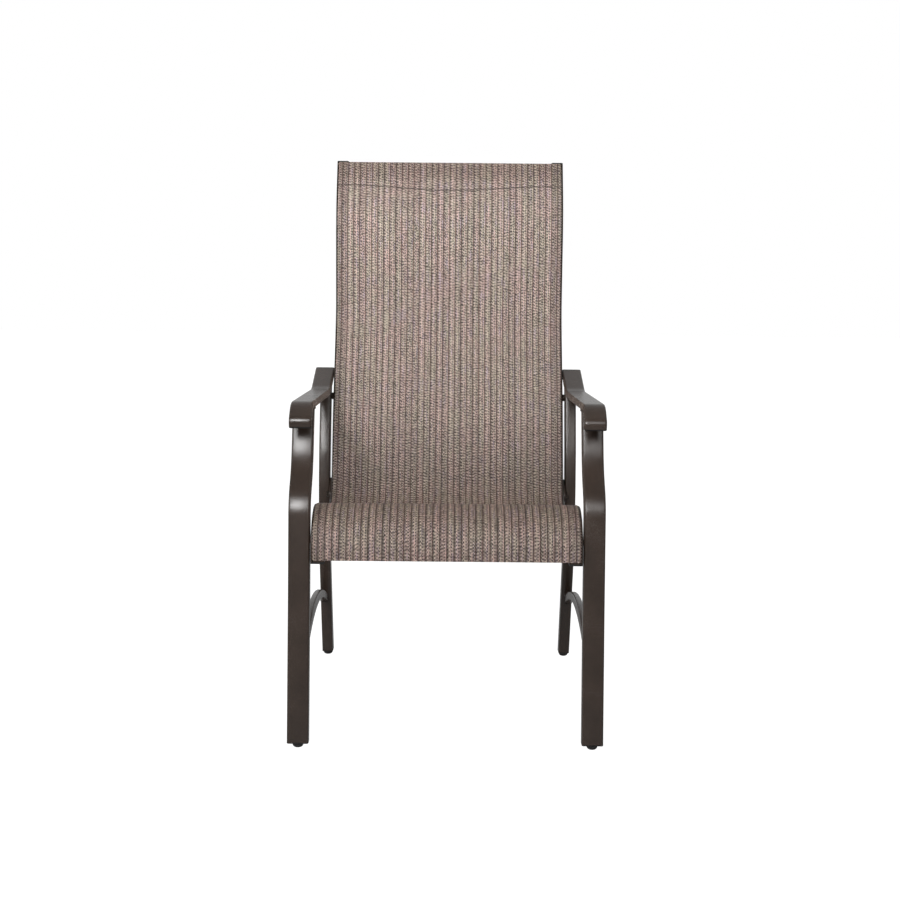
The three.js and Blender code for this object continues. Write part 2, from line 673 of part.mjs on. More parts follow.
function makeSpreaderScrew({ name, ...station }) {
  const place = beside(station, boltLine);
  const headStart = railInner + rail.wall + fit + screw.headHeight;
  const shank = rail.wall + 2 * fit + screw.grip;
  addPair(`spreader_screw_${name}`, headed(screw, shank, headStart, place, false), 'steel');
}

makeSideFrame();
makeSlingFrame();
spreaderStations.forEach(makeSpreader);
makeSling();
makeArmCaps();
makeFoot('front_leg', frontLegRoute, frontLegSections, frontLegInner, frontLegOuter, frontLeg.thickness);
makeFoot('rear_leg', rearLegRoute, rearLegSections, rearLegInner, rearLegOuter, rearLeg.depth);
makeRailFixings();
makeRailBracket();
spreaderStations.forEach(makeSpreaderScrew);

// The chair stands on Z = 0 with its origin under the middle of its outer box
const bounds = new THREE.Box3().setFromObject(model);
const middleY = (bounds.min.y + bounds.max.y) / 2;
model.children.forEach((mesh) => mesh.geometry.translate(0, -middleY, 0));

export default model;
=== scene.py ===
"""Sling patio chair: the detailed visual model around the packed frame."""
import math
import random

import bmesh
import bpy
from bpy.props import FloatProperty, FloatVectorProperty, PointerProperty
from mathutils import Matrix, Vector


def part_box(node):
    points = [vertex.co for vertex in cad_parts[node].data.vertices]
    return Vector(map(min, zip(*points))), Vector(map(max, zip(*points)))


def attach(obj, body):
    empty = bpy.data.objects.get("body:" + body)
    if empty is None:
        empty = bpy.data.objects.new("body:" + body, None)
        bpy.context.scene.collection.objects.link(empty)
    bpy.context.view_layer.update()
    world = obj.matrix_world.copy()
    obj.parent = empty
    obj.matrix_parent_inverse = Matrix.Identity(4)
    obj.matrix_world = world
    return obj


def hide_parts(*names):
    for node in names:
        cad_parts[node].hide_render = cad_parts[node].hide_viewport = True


bl_info = {
    "name": "Sling patio chair",
    "version": (1, 0, 0),
    "blender": (4, 5, 0),
    "location": "View3D > Sidebar > Patio chair",
    "description": "Builds a high-back sling patio chair around its packed frame",
    "category": "Add Mesh",
}

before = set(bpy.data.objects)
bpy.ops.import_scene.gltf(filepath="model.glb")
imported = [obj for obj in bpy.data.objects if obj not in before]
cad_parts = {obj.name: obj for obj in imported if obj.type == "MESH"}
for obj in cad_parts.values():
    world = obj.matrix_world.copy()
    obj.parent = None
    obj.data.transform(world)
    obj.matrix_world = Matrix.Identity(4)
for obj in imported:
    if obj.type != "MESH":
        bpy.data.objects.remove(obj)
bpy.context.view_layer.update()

MM = 0.001
GAP = 0.3 * MM  # between pieces that touch
AXIS = 0.01 * MM  # radius of a turned piece where it ends on its axis
RAIL_OVERHANG = 3.5 * MM  # of the rail in front of the fabric
QUARTER = math.pi / 2
FULL = 2 * math.pi
CREASE = math.radians(40)  # edges that turn more than this stay sharp
SIDES = ("left", "right")
CHAIR_BODY = "frame"


def size(name, description, millimetres, soft_max=2000.0):
    """Property of a length, written in millimetres and kept in metres."""
    return FloatProperty(
        name=name, description=description, default=millimetres * MM,
        min=0.0, soft_max=soft_max * MM, unit="LENGTH", precision=4)


def share(name, description, default):
    """Property of a plain number or share."""
    return FloatProperty(name=name, description=description, default=default, min=0.0, precision=3)


def linear(*shown):
    """Linear colour of the 0 to 255 values that a picture shows."""
    parts = [value / 255 for value in shown]
    return tuple(part / 12.92 if part <= 0.04045 else ((part + 0.055) / 1.055) ** 2.4 for part in parts)


def colour(name, description, *shown):
    """Property of a colour, written as a picture shows it."""
    return FloatVectorProperty(
        name=name, description=description, subtype="COLOR", size=3,
        min=0.0, max=1.0, default=linear(*shown))


# Sizes and colours that a user can change

class SideFrameSizes(bpy.types.PropertyGroup):
    """Welded side frames"""
    arm_height: size("Arm height", "Top of the arms at their front roll", 643)
    front_leg_width: size("Front leg width", "Front leg tube across the chair", 41)
    front_leg_thickness: size("Front leg thickness", "Front leg tube from front to back", 25)
    front_leg_lean: size("Front leg lean", "Front face at arm height behind the floor", 148.5)
    rear_leg_width: size("Rear leg width", "Rear leg tube across the chair", 24.5)
    rear_leg_depth: size("Rear leg depth", "Rear leg tube from front to back", 34)
    rear_foot_setback: size("Rear foot setback", "Rear foot behind the leg's waist", 92)
    arm_width: size("Arm width", "Arm tube across the chair", 43)
    arm_thickness: size("Arm thickness", "Height of the arm tube", 15)
    tube_corner: size("Tube corner", "Corner radius of the tubes", 4)
    tube_wall: size("Tube wall", "Wall of the tubes", 2)
    stretcher_width: size("Stretcher width", "Side stretcher across the chair", 16)
    stretcher_height: size("Stretcher height", "Height of the side stretcher tube", 18)
    weld_radius: size("Weld radius", "Radius of the weld beads", 2.4)


class SlingFrameSizes(bpy.types.PropertyGroup):
    """Rails and bars that carry the fabric"""
    rail_width: size("Rail width", "Rail across the chair", 26)
    rail_depth: size("Rail depth", "Rail from its face to its back", 34)
    rail_wall: size("Rail wall", "Wall of the rail", 2)
    rail_corner: size("Rail corner", "Corner radius of the rail", 3)
    groove_lip: size("Groove lip", "Metal outside the groove's mouth", 3.2)
    groove_mouth: size("Groove mouth", "Width of the groove's mouth", 2.6)
    groove_radius: size("Groove radius", "Radius of the groove's round part", 3.4)
    bar_height: size("Bar height", "Height of a spreader bar", 10)
    bar_depth: size("Bar depth", "Depth of a spreader bar", 19)
    bar_bow: size("Bar bow", "Bow of a spreader bar", 38)


class FabricSettings(bpy.types.PropertyGroup):
    """Woven sling"""
    thickness: size("Thickness", "Thickness of the fabric", 1.1)
    hem: size("Hem", "Width of the sewn hems at the two ends", 17)
    stripe: size("Stripe", "Distance between two dark stripes", 13.5)
    weft: size("Weft", "Distance between two rows of eyelets", 6.9)
    stitch: size("Stitch", "Length of one stitch", 3.6)
    dark_yarn: colour("Dark yarn", "Yarn of the narrow dark stripes", 66, 52, 49)
    rose_yarn: colour("Rose yarn", "Warm yarn between the stripes", 147, 125, 117)
    grey_yarn: colour("Grey yarn", "Cool yarn between the stripes", 139, 129, 114)
    mauve_yarn: colour("Mauve yarn", "Bluish yarn between the stripes", 134, 120, 128)
    sand_yarn: colour("Sand yarn", "Light yarn beside the eyelets", 192, 177, 162)


class FinishSettings(bpy.types.PropertyGroup):
    """Metal, plastic and thread"""
    coat: colour("Powder coat", "Powder coat of the frame", 53, 43, 37)
    plastic: colour("Moulded plastic", "Caps, plugs and glides", 20, 19, 19)
    steel: colour("Plated steel", "Screws, bolts, nuts and spacers", 74, 66, 60)
    cord: colour("Hem rod", "Rods in the sling's hems", 141, 133, 123)
    thread: colour("Thread", "Stitches of the hems", 92, 76, 70)


class StageSettings(bpy.types.PropertyGroup):
    """Camera, floor and lamps"""
    lens: FloatProperty(name="Lens", description="Focal length in millimetres", default=60.0)
    pitch: FloatProperty(name="Pitch", description="Camera turned down, in degrees", default=8.023)
    floor_side: size("Floor side", "Side of the square floor", 24000, 30000.0)
    floor_white: share("Floor white", "Strength of the floor's white where it is seen", 1.5)
    world_light: share("Even light", "Strength of the light from all round", 0.4)
    ceiling_light: share("Ceiling light", "Share of the even light that comes from straight above", 0.7)
    room_light: share("Room light", "Share of the backdrop's white behind the camera", 0.35)
    key_light: share("Key light", "Power of the front lamp in watts", 12.0)
    side_light: share("Side light", "Power of the right front lamp in watts", 2.3)
    fill_light: share("Fill light", "Power of the left lamp in watts", 30.0)


# Paths in the side view. A station is a point (y, z) with a direction, and the normal beside it
# points up from the arms, forwards from the legs and to the sitter from the sling.

class Path:
    """Smooth path in the side view, kept as close stations."""
    turn_step = math.radians(3)
    least_steps = 4

    def __init__(self, stations):
        self.stations = stations

    @classmethod
    def rounded(cls, corners):
        """Straight runs between corners (y, z, radius), rounded as far as the runs allow."""
        points = [Vector(corner[:2]) for corner in corners]
        last = len(points) - 1
        runs = [points[i + 1] - points[i] for i in range(last)]
        headings = [run.normalized() for run in runs]
        stations = [(points[0], headings[0])]
        for i in range(1, last):
            before, after = headings[i - 1], headings[i]
            turn = before.angle_signed(after) * -1
            half = math.tan(abs(turn) / 2)
            room_before = runs[i - 1].length / (2 if i > 1 else 1)
            room_after = runs[i].length / (2 if i < last - 1 else 1)
            reach = min(corners[i][2] * half, room_before, room_after)
            radius = reach / half
            start = points[i] - before * reach
            inward = Vector((-before.y, before.x)) * math.copysign(1, turn)
            centre = start + inward * radius
            count = max(cls.least_steps, math.ceil(abs(turn) / cls.turn_step))
            for step in range(count + 1):
                spin = Matrix.Rotation(turn * step / count, 2)
                stations.append((centre + spin @ (start - centre), spin @ before))
        stations.append((points[last], headings[last - 1]))
        return cls(stations)

    def shifted(self, y):
        return Path([(point + Vector((y, 0)), heading) for point, heading in self.stations])

    def extended(self, before, after):
        """The same path made longer at its ends."""
        first, last = self.stations[0], self.stations[-1]
        return Path([(first[0] - first[1] * before, first[1]), *self.stations[1:-1],
                     (last[0] + last[1] * after, last[1])])

    def reversed(self):
        return Path([(point, -heading) for point, heading in reversed(self.stations)])

    def lengths(self):
        """Distance of each station from the first one."""
        total, result = 0.0, [0.0]
        for (one, _), (two, _) in zip(self.stations, self.stations[1:]):
            total += (two - one).length
            result.append(total)
        return result

    def at(self, distance):
        """Station at a distance along the path."""
        lengths = self.lengths()
        for i in range(1, len(lengths)):
            if lengths[i] >= distance or i == len(lengths) - 1:
                span = lengths[i] - lengths[i - 1]
                t = (distance - lengths[i - 1]) / span if span else 0.0
                one, two = self.stations[i - 1], self.stations[i]
                return one[0].lerp(two[0], t), one[1].lerp(two[1], t).normalized()
        return self.stations[-1]

    def evenly(self, spacing):
        """The same path with stations at an even distance."""
        total = self.lengths()[-1]
        count = round(total / spacing)
        return Path([self.at(total * i / count) for i in range(count + 1)])

    def part(self, start, end, count):
        """Stretch of the path with its own number of steps."""
        return Path([self.at(start + (end - start) * i / count) for i in range(count + 1)])

    def beside(self, offset):
        """Points at an offset along the normal."""
        return [point + Vector((-heading.y, heading.x)) * offset for point, heading in self.stations]

    def crossing(self, axis, level, offset):
        """Where the line beside the path last passes a depth (axis 0) or a height (axis 1)."""
        line = self.beside(offset)
        other = 1 - axis
        for one, two in reversed(list(zip(line, line[1:]))):
            if (one[axis] - level) * (two[axis] - level) <= 0 and one[axis] != two[axis]:
                step = two[other] - one[other]
                return one[other] + step * (level - one[axis]) / (two[axis] - one[axis])
        raise ValueError(f"the path never passes {level}")

    def depth_at(self, height, offset=0.0):
        """y of the line beside the path at a height."""
        return self.crossing(1, height, offset)

    def height_at(self, depth, offset=0.0):
        """z of the line beside the path at a depth."""
        return self.crossing(0, depth, offset)


def spot(station, across, rise):
    """Point of a section: its distance from the centre plane and its place along the normal."""
    point, heading = station
    return Vector((-across, point.x - heading.y * rise, point.y + heading.x * rise))


# Closed shells

class Shell:
    """Points and faces of one piece, on the left side of the chair."""

    def __init__(self):
        self.points = []
        self.faces = []

    def loop(self, points):
        start = len(self.points)
        self.points.extend(Vector(point) for point in points)
        return list(range(start, len(self.points)))

    def bridge(self, one, two):
        count = len(one)
        for i in range(count):
            j = (i + 1) % count
            self.faces.append((one[i], one[j], two[j], two[i]))

    def skin(self, rings):
        """Faces between rings of points, whose loops it returns."""
        loops = [self.loop(ring) for ring in rings]
        for one, two in zip(loops, loops[1:]):
            self.bridge(one, two)
        return loops

    def loft(self, rings, closed=False):
        """Skin over rings of points, with flat ends, or joined into a ring."""
        loops = self.skin(rings)
        if closed:
            self.bridge(loops[-1], loops[0])
        else:
            self.faces.append(tuple(reversed(loops[0])))
            self.faces.append(tuple(loops[-1]))
        return self

    def pipe(self, outer, inner):
        """Open-ended tube between rings outside and rings inside with as many points."""
        outside, inside = self.skin(outer), self.skin(inner)
        self.bridge(outside[0], inside[0])
        self.bridge(outside[-1], inside[-1])
        return self

    def turned(self, profile, place, sides=32, closed=False):
        """Turned piece: a profile of (radius, height), and a number of flats where it has them."""
        rings = []
        for radius, height, *flats in profile:
            ring = []
            for i in range(sides):
                angle = FULL * i / sides
                reach = radius
                if flats:
                    wedge = FULL / flats[0]
                    reach = radius / math.cos((angle % wedge) - wedge / 2)
                ring.append(place @ Vector((reach * math.cos(angle), reach * math.sin(angle), height)))
            rings.append(ring)
        return self.loft(rings, closed)

    def bead(self, line, radius, reference, seed):
        """Rippled weld bead along a closed line."""
        dice = random.Random(seed)
        sides = 8
        ripple_share, ripple_turn, uneven_share = 0.1, 1.9, 0.06
        rings = []
        for i, point in enumerate(line):
            along = (line[(i + 1) % len(line)] - line[i - 1]).normalized()
            one = along.cross(reference).normalized()
            two = along.cross(one).normalized()
            swell = 1 + ripple_share * math.sin(i * ripple_turn) + dice.uniform(-uneven_share, uneven_share)
            rings.append(round_ring(point, one, two, radius * swell, sides))
        self.loft(rings, closed=True)


def round_ring(centre, one, two, radius, sides):
    """Points on a circle in the plane of two directions."""
    return [centre + (one * math.cos(a) + two * math.sin(a)) * radius
            for a in (FULL * k / sides for k in range(sides))]


def arc(x, y, radius, start, sweep, steps):
    """Points of a circle from a start angle over a sweep."""
    return [(x + radius * math.cos(a), y + radius * math.sin(a))
            for a in (start + sweep * i / steps for i in range(steps + 1))]


def rounded_outline(low, high, bottom, top, radius, steps=5):
    """Rectangle with round corners as (across, rise) points."""
    corners = ((high - radius, top - radius), (low + radius, top - radius),
               (low + radius, bottom + radius), (high - radius, bottom + radius))
    return [point for quarter, (x, y) in enumerate(corners)
            for point in arc(x, y, radius, quarter * QUARTER, QUARTER, steps)]


def inset_outline(box, radius, amount=0.0):
    """Outline of a box (low, high, bottom, top) drawn in by an amount."""
    low, high, bottom, top = box
    least_radius = 0.2 * MM
    return rounded_outline(low + amount, high - amount, bottom + amount, top - amount,
                           max(radius - amount, least_radius))


def sections(stations, outline):
    """Rings of an outline at stations of a path."""
    return [[spot(station, *corner) for corner in outline] for station in stations]


def dense_loop(points, spacing):
    """Closed line with points at an even distance."""
    result = []
    for i, point in enumerate(points):
        after = points[(i + 1) % len(points)]
        count = max(1, round((after - point).length / spacing))
        result.extend(point.lerp(after, k / count) for k in range(count))
    return result


def make_object(name, shell, material, mirror=False, crease=CREASE, attribute=None):
    """Object from a shell, mirrored for the right side."""
    sign = -1 if mirror else 1
    mesh = bpy.data.meshes.new(name)
    mesh.from_pydata([(sign * p.x, p.y, p.z) for p in shell.points], [], shell.faces)
    if attribute:
        layer = mesh.attributes.new(attribute[0], "FLOAT", "POINT")
        layer.data.foreach_set("value", attribute[1])
    work = bmesh.new()
    work.from_mesh(mesh)
    bmesh.ops.recalc_face_normals(work, faces=work.faces)
    work.to_mesh(mesh)
    work.free()
    mesh.shade_smooth()
    mesh.set_sharp_from_angle(angle=crease)
    mesh.materials.append(material)
    return link_object(name, mesh)


def link_object(name, data):
    """New object of a mesh, camera or lamp in the scene."""
    thing = bpy.data.objects.new(name, data)
    bpy.context.collection.objects.link(thing)
    return thing


def fit_piece(piece, nodes=(), body=CHAIR_BODY):
    """Gives a piece its body, and hides the CAD nodes that it stands for."""
    if nodes:
        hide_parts(*nodes)
    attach(piece, body)
    return piece


def both_sides(name, shell, material, node=None, body=None, crease=CREASE):
    """The same piece on the left and on the right."""
    pieces = []
    for side in SIDES:
        piece = make_object(f"{name}_{side}", shell, material, side == "right", crease)
        nodes = (f"{node}_{side}",) if node else ()
        pieces.append(fit_piece(piece, nodes, f"{body}_{side}" if body else CHAIR_BODY))
    return pieces


def drill(pieces, cylinders, depth):
    """Cuts round holes across the chair: (radius, across, y, z) on the left side."""
    for piece in pieces:
        sign = 1 if piece.name.endswith("right") else -1
        work = bmesh.new()
        for radius, across, y, z in cylinders:
            place = Matrix.Translation((sign * across, y, z)) @ Matrix.Rotation(QUARTER, 4, "Y")
            bmesh.ops.create_cone(work, cap_ends=True, segments=32, radius1=radius, radius2=radius,
                                  depth=depth, matrix=place)
        mesh = bpy.data.meshes.new("drill")
        work.to_mesh(mesh)
        work.free()
        cutter = link_object("drill", mesh)
        modifier = piece.modifiers.new("holes", "BOOLEAN")
        modifier.operation = "DIFFERENCE"
        modifier.solver = "EXACT"
        modifier.object = cutter
        result = bpy.data.meshes.new_from_object(
            piece.evaluated_get(bpy.context.evaluated_depsgraph_get()))
        piece.modifiers.clear()
        piece.data = result
        result.set_sharp_from_angle(angle=CREASE)
        bpy.data.objects.remove(cutter)


# Shader building

class Value:
    """A shader socket that Python arithmetic can use."""

    def __init__(self, shader, socket):
        self.shader = shader
        self.socket = socket

    def math(self, operation, *values):
        return self.shader.node("ShaderNodeMath", {"operation": operation},
                                dict(enumerate((self, *values))))

    def __add__(self, other):
        return self.math("ADD", other)

    __radd__ = __add__

    def __mul__(self, other):
        return self.math("MULTIPLY", other)

    __rmul__ = __mul__

    def __sub__(self, other):
        return self.math("SUBTRACT", other)

    def __rsub__(self, other):
        return self.shader.node("ShaderNodeMath", {"operation": "SUBTRACT"}, {0: other, 1: self})

    def __truediv__(self, other):
        return self.math("DIVIDE", other)

    def __mod__(self, other):
        return self.math("FLOORED_MODULO", other)

    def floor(self):
        return self.math("FLOOR")

    def sine(self):
        return self.math("SINE")

    def absolute(self):
        return self.math("ABSOLUTE")


class Shader:
    """Node tree of a material or of the world."""

    def __init__(self, owner, surface, output):
        owner.use_nodes = True
        self.owner = owner
        self.tree = owner.node_tree
        self.tree.nodes.clear()
        self.surface = self.tree.nodes.new(surface)
        end = self.tree.nodes.new(output)
        self.tree.links.new(self.surface.outputs[0], end.inputs["Surface"])

    @classmethod
    def of_material(cls, name, surface="ShaderNodeBsdfPrincipled"):
        return cls(bpy.data.materials.new(name), surface, "ShaderNodeOutputMaterial")

    def feed(self, socket, value):
        if isinstance(value, Value):
            self.tree.links.new(value.socket, socket)
        elif socket.type == "RGBA":
            socket.default_value = (*tuple(value)[:3], 1.0)
        else:
            socket.default_value = value

    def node(self, kind, settings=None, sockets=None, output=0):
        """Adds a node of a type, with its settings and the values or links of its sockets."""
        node = self.tree.nodes.new(kind)
        for name, value in (settings or {}).items():
            if name == "stops":
                elements = node.color_ramp.elements
                while len(elements) < len(value):
                    elements.new(1.0)
                for element, (place, tint) in zip(elements, value):
                    element.position = place
                    element.color = (*tint, 1.0) if len(tint) == 3 else tint
            elif name == "interpolation":
                node.color_ramp.interpolation = value
            else:
                setattr(node, name, value)
        for key, value in (sockets or {}).items():
            self.feed(node.inputs[key], value)
        return Value(self, node.outputs[output])

    def set(self, **sockets):
        for name, value in sockets.items():
            title = name.replace("_", " ").title().replace("Ior", "IOR")
            self.feed(self.surface.inputs[title], value)

    def position(self):
        return self.node("ShaderNodeTexCoord", output="Object")

    def axes(self, vector):
        return [self.node("ShaderNodeSeparateXYZ", sockets={0: vector}, output=i) for i in range(3)]

    def spot(self, one, two, three):
        return self.node("ShaderNodeCombineXYZ", sockets={0: one, 1: two, 2: three})

    def noise(self, vector, scale, detail=2.0):
        return self.node("ShaderNodeTexNoise", {"noise_dimensions": "3D"},
                         {"Vector": vector, "Scale": scale, "Detail": detail})

    def cloudy(self, one, two, three, detail=1.0):
        """Noise over three numbers."""
        return self.noise(self.spot(one, two, three), 1.0, detail)

    def dice(self, one, two):
        """Random number of a cell."""
        return self.node("ShaderNodeTexWhiteNoise", {"noise_dimensions": "2D"},
                         {"Vector": self.spot(one, two, 0.0)}, output="Value")

    def mix(self, factor, one, two, blend="MIX"):
        return self.node("ShaderNodeMix", {"data_type": "RGBA", "blend_type": blend},
                         {0: factor, 6: one, 7: two}, output=2)

    def ramp(self, factor, stops, interpolation="LINEAR"):
        return self.node("ShaderNodeValToRGB", {"interpolation": interpolation, "stops": stops}, {0: factor})

    def table(self, factor, rows):
        """Row of a table, picked by a factor of row / number of rows."""
        inside_row = 0.02
        stops = [(i / len(rows), row) for i, row in enumerate(rows)]
        return self.ramp(factor + inside_row, stops, "CONSTANT")

    def smooth(self, value, low, high):
        return self.node("ShaderNodeMapRange", {"interpolation_type": "SMOOTHSTEP"},
                         {"Value": value, "From Min": low, "From Max": high})

    def bump(self, height, distance, strength):
        return self.node("ShaderNodeBump", sockets={
            "Height": height, "Distance": distance, "Strength": strength})


def shade(tint, factor):
    """A colour made lighter or darker."""
    return tuple(min(1.0, part * factor) for part in tint)


def powder_coat(name, tint):
    """Satin powder coat: cloudy tone, fine flake and orange peel."""
    shader = Shader.of_material(name)
    place = shader.position()
    cloud = shader.noise(place, scale=11.0, detail=4.0)
    flake = shader.noise(place, scale=1500.0, detail=1.0)
    peel = shader.noise(place, scale=520.0)
    toned = shader.mix(shader.smooth(cloud, 0.3, 0.7), shade(tint, 0.85), shade(tint, 1.18))
    glint = shader.smooth(flake, 0.62, 0.75) * 0.6
    shader.set(
        base_color=shader.mix(glint, toned, shade(tint, 2.4)),
        specular_ior_level=0.45,
        roughness=0.2 + 0.07 * cloud + 0.05 * flake,
        normal=shader.bump(peel + 0.3 * flake, distance=0.2 * MM, strength=0.5))
    return shader.owner


def moulded_plastic(name, tint):
    """Matt moulded plastic with a fine spark-eroded grain."""
    shader = Shader.of_material(name)
    place = shader.position()
    grain = shader.noise(place, scale=1500.0, detail=3.0)
    cloud = shader.noise(place, scale=60.0)
    shader.set(
        base_color=shader.mix(cloud, shade(tint, 0.8), shade(tint, 1.3)),
        roughness=0.5 + 0.15 * grain,
        normal=shader.bump(grain, distance=0.08 * MM, strength=0.5))
    return shader.owner


def plated_steel(name, tint):
    """Dark plated steel, slightly spotted."""
    shader = Shader.of_material(name)
    spots = shader.noise(shader.position(), scale=900.0)
    shader.set(
        base_color=shader.mix(spots, shade(tint, 0.8), tint),
        metallic=0.95,
        roughness=0.28 + 0.2 * spots,
        normal=shader.bump(spots, distance=0.04 * MM, strength=0.4))
    return shader.owner


def thread_finish(name, tint, pitch):
    """Twisted thread or ribbed rod."""
    shader = Shader.of_material(name)
    across, depth, height = shader.axes(shader.position())
    twist = ((across + depth + height) * (FULL / pitch)).sine()
    shader.set(
        base_color=shader.mix(twist * 0.5 + 0.5, shade(tint, 0.75), shade(tint, 1.15)),
        roughness=0.75,
        normal=shader.bump(twist, distance=0.1 * MM, strength=0.5))
    return shader.owner


# The weave repeats in stripes of six columns of yarn. Each column has its share of dots, the rate of
# its rows and their phase, and its level of light. The painted light and shade run over shares of the
# cloth's length, from the front edge of the seat to the top of the back: darker over the seat, a painted
# dark band at the bend into the back, lighter up the back and darker again at its top edge.

COLUMNS = 6
COLUMN_WEAVE = ((0.15, 1.0, 0.0), (0.8, 1.0, 0.0), (1.0, 1.0, 0.15),
                (0.25, 1.2, 0.5), (1.0, 1.2, 0.5), (0.4, 1.2, 0.7))
COLUMN_LEVELS = ((0.43, 0.32, 0.29), (1.0,) * 3, (1.55,) * 3, (1.6,) * 3, (1.05,) * 3, (1.45,) * 3)
CLOTH_PAINTED_LIGHT = (
    (0.0, (0.53, 0.5, 0.51)), (0.04, (0.5, 0.48, 0.48)), (0.07, (0.46, 0.43, 0.42)),
    (0.1, (0.53, 0.49, 0.47)), (0.15, (0.62, 0.59, 0.58)), (0.38, (0.62, 0.59, 0.58)),
    (0.45, (0.42, 0.39, 0.38)), (0.56, (0.82, 0.81, 0.83)), (0.72, (0.93, 0.93, 0.95)),
    (0.88, (1.1, 1.12, 1.16)), (0.96, (1.03, 1.05, 1.08)), (0.98, (0.71, 0.68, 0.68)))


def woven_fabric(name, cloth, total, edge):
    """Open weave of coated yarn: striped columns, eyelets in them and slow drifts of colour, with painted
    light and shade along the cloth, over the rails, between the columns, in the gaps and below the top bar.
    """
    shader = Shader.of_material(name)
    dice, mix, smooth, cloudy = shader.dice, shader.mix, shader.smooth, shader.cloudy
    across = shader.axes(shader.position())[0]
    along = shader.node("ShaderNodeAttribute", {"attribute_name": "along"}, output="Fac")
    back = smooth(along, 0.38, 0.52)
    seat = 1 - back

    # Columns of yarn, counted from far outside the cloth
    column_start, row_start = 600.5, 400
    place = across / (cloth.stripe / COLUMNS) + column_start
    column = place.floor()
    valley = (place - column - 0.5).absolute()
    kind = column % COLUMNS
    stripe = (column / COLUMNS).floor()
    strand = dice(column, 0.5)
    lively, rate, phase = shader.axes(shader.table(kind / COLUMNS, COLUMN_WEAVE))
    level = shader.table(kind / COLUMNS, COLUMN_LEVELS)

    # Rows of dots, shifted from column to column
    slip = cloudy(column * 1.7, along * 30, 3.0)
    shift = dice((place / 3.0).floor(), 2.5) + dice(column, 7.5) * seat
    rows = along / cloth.weft * rate + phase + shift + slip * 1.2 + row_start
    row = rows.floor()
    beat = ((rows - row) * FULL).sine()
    patch = cloudy(column * 2.9, along * 45, 12.0)
    dotted = lively * (0.68 + 0.32 * smooth(patch, 0.4, 0.6)) * (1 - 0.5 * (kind % 2.0) * seat)
    cell = dice(column, row)
    fleck = dice(column + 0.25, (rows * 1.6).floor())
    fuzz = cloudy(across * 900, along * 420, 0.0, detail=2.0)

    # Yarn colours that drift along the columns and the stripes
    warmth = cloudy(column * 3.7, along * 16, 0.0, detail=2.0)
    drift = cloudy(stripe * 3.7 + 30, along * 9, 9.0)
    hush = cloudy(column * 2.3 + 70, along * 24, 5.0)
    tint = mix(smooth(warmth * 0.55 + drift * 0.45, 0.42, 0.58),
               tuple(cloth.grey_yarn), tuple(cloth.rose_yarn))
    tint = mix(smooth(hush, 0.54, 0.68) * 0.7, tint, tuple(cloth.mauve_yarn))
    light = 0.03 + 0.2 * cell + 0.9 * fleck + 0.45 * strand + 0.3 * fuzz + beat * (0.1 + 0.26 * dotted)
    # The last tone is painted light and shade along the cloth's length.
    for strength, tone in ((1.0, level), (seat * 0.45, level), (1.0, shader.spot(light, light, light)),
                           (1.0, shader.ramp(along / total, CLOTH_PAINTED_LIGHT))):
        tint = mix(strength, tint, tone, "MULTIPLY")

    # Painted shade over the rails at the edges, painted shadow of the top bar, light knots, and painted
    # shade between the columns and in the gaps
    rail_shade_start, rail_shade_end, bar_shadow_drop, bar_shadow_sag = 2 * MM, 4 * MM, 62 * MM, 5.5 * MM
    bar_shadow_core, bar_shadow_edge = 1.4 * MM, 3.2 * MM
    # Painted shade over the rails: the cloth is darker where it lies over them near its edges.
    rail_shade = smooth(across.absolute(), edge - rail_shade_start, edge + rail_shade_end)
    # Painted shadow of the bowed top bar: a dark line below the top hem that sags in the middle like the
    # bar.
    sag = ((across / edge + 0.5) * math.pi).sine() * bar_shadow_sag
    crease = 1 - smooth((along - total + bar_shadow_drop + sag).absolute(), bar_shadow_core, bar_shadow_edge)
    knot = smooth(beat, -0.1, 0.6) * (1 - smooth(valley, 0.3, 0.48)) * dotted
    # Painted shade in the eyelets' gaps, standing in for the dark space behind the cloth.
    gap_shade = smooth(-1 * beat, 0.0, 0.4) * (1 - smooth(valley, 0.4, 0.5)) * dotted
    gap_shade = gap_shade * (0.78 + 0.22 * dice(column + 0.5, row + 0.5))
    for strength, paint in ((rail_shade * 0.3, cloth.dark_yarn), (crease * 0.65, shade(cloth.dark_yarn, 0.8)),
                            (knot * (0.2 + 0.6 * cell), cloth.sand_yarn),
                            # Painted shade in the grooves between the columns.
                            (smooth(valley, 0.38, 0.5) * 0.25, shade(cloth.dark_yarn, 0.9)),
                            (gap_shade * 0.72, shade(cloth.dark_yarn, 0.5))):
        tint = mix(strength, tint, tuple(paint))

    # Eyelets that show what is behind, closed by the second layer of the hems
    hem_edge = 0.5 * MM
    hem = smooth(along, total - cloth.hem - hem_edge, total - cloth.hem)
    hem = hem + 1 - smooth(along, cloth.hem, cloth.hem + hem_edge)
    hole = smooth(-1 * beat, 0.45, 0.85) * (1 - smooth(valley, 0.2, 0.34)) * dotted
    yarn_height = (1 - valley * valley * 3.0) * (0.7 + 0.3 * beat)
    shader.set(
        base_color=tint,
        roughness=0.55 + 0.25 * fuzz,
        alpha=1 - hole * (0.05 + 0.15 * back) * (1 - 0.85 * hem),
        normal=shader.bump(yarn_height + 0.3 * fuzz, distance=0.5 * MM, strength=0.6))
    return shader.owner


# Paths and sizes of this chair

def corners(start, reach, shares, turns):
    """Corners (y, z, radius) at shares of a reach from a start, with the turns in millimetres."""
    return [(start[0] + reach[0] * along, start[1] + reach[1] * up, turn * MM)
            for (along, up), turn in zip(shares, turns)]


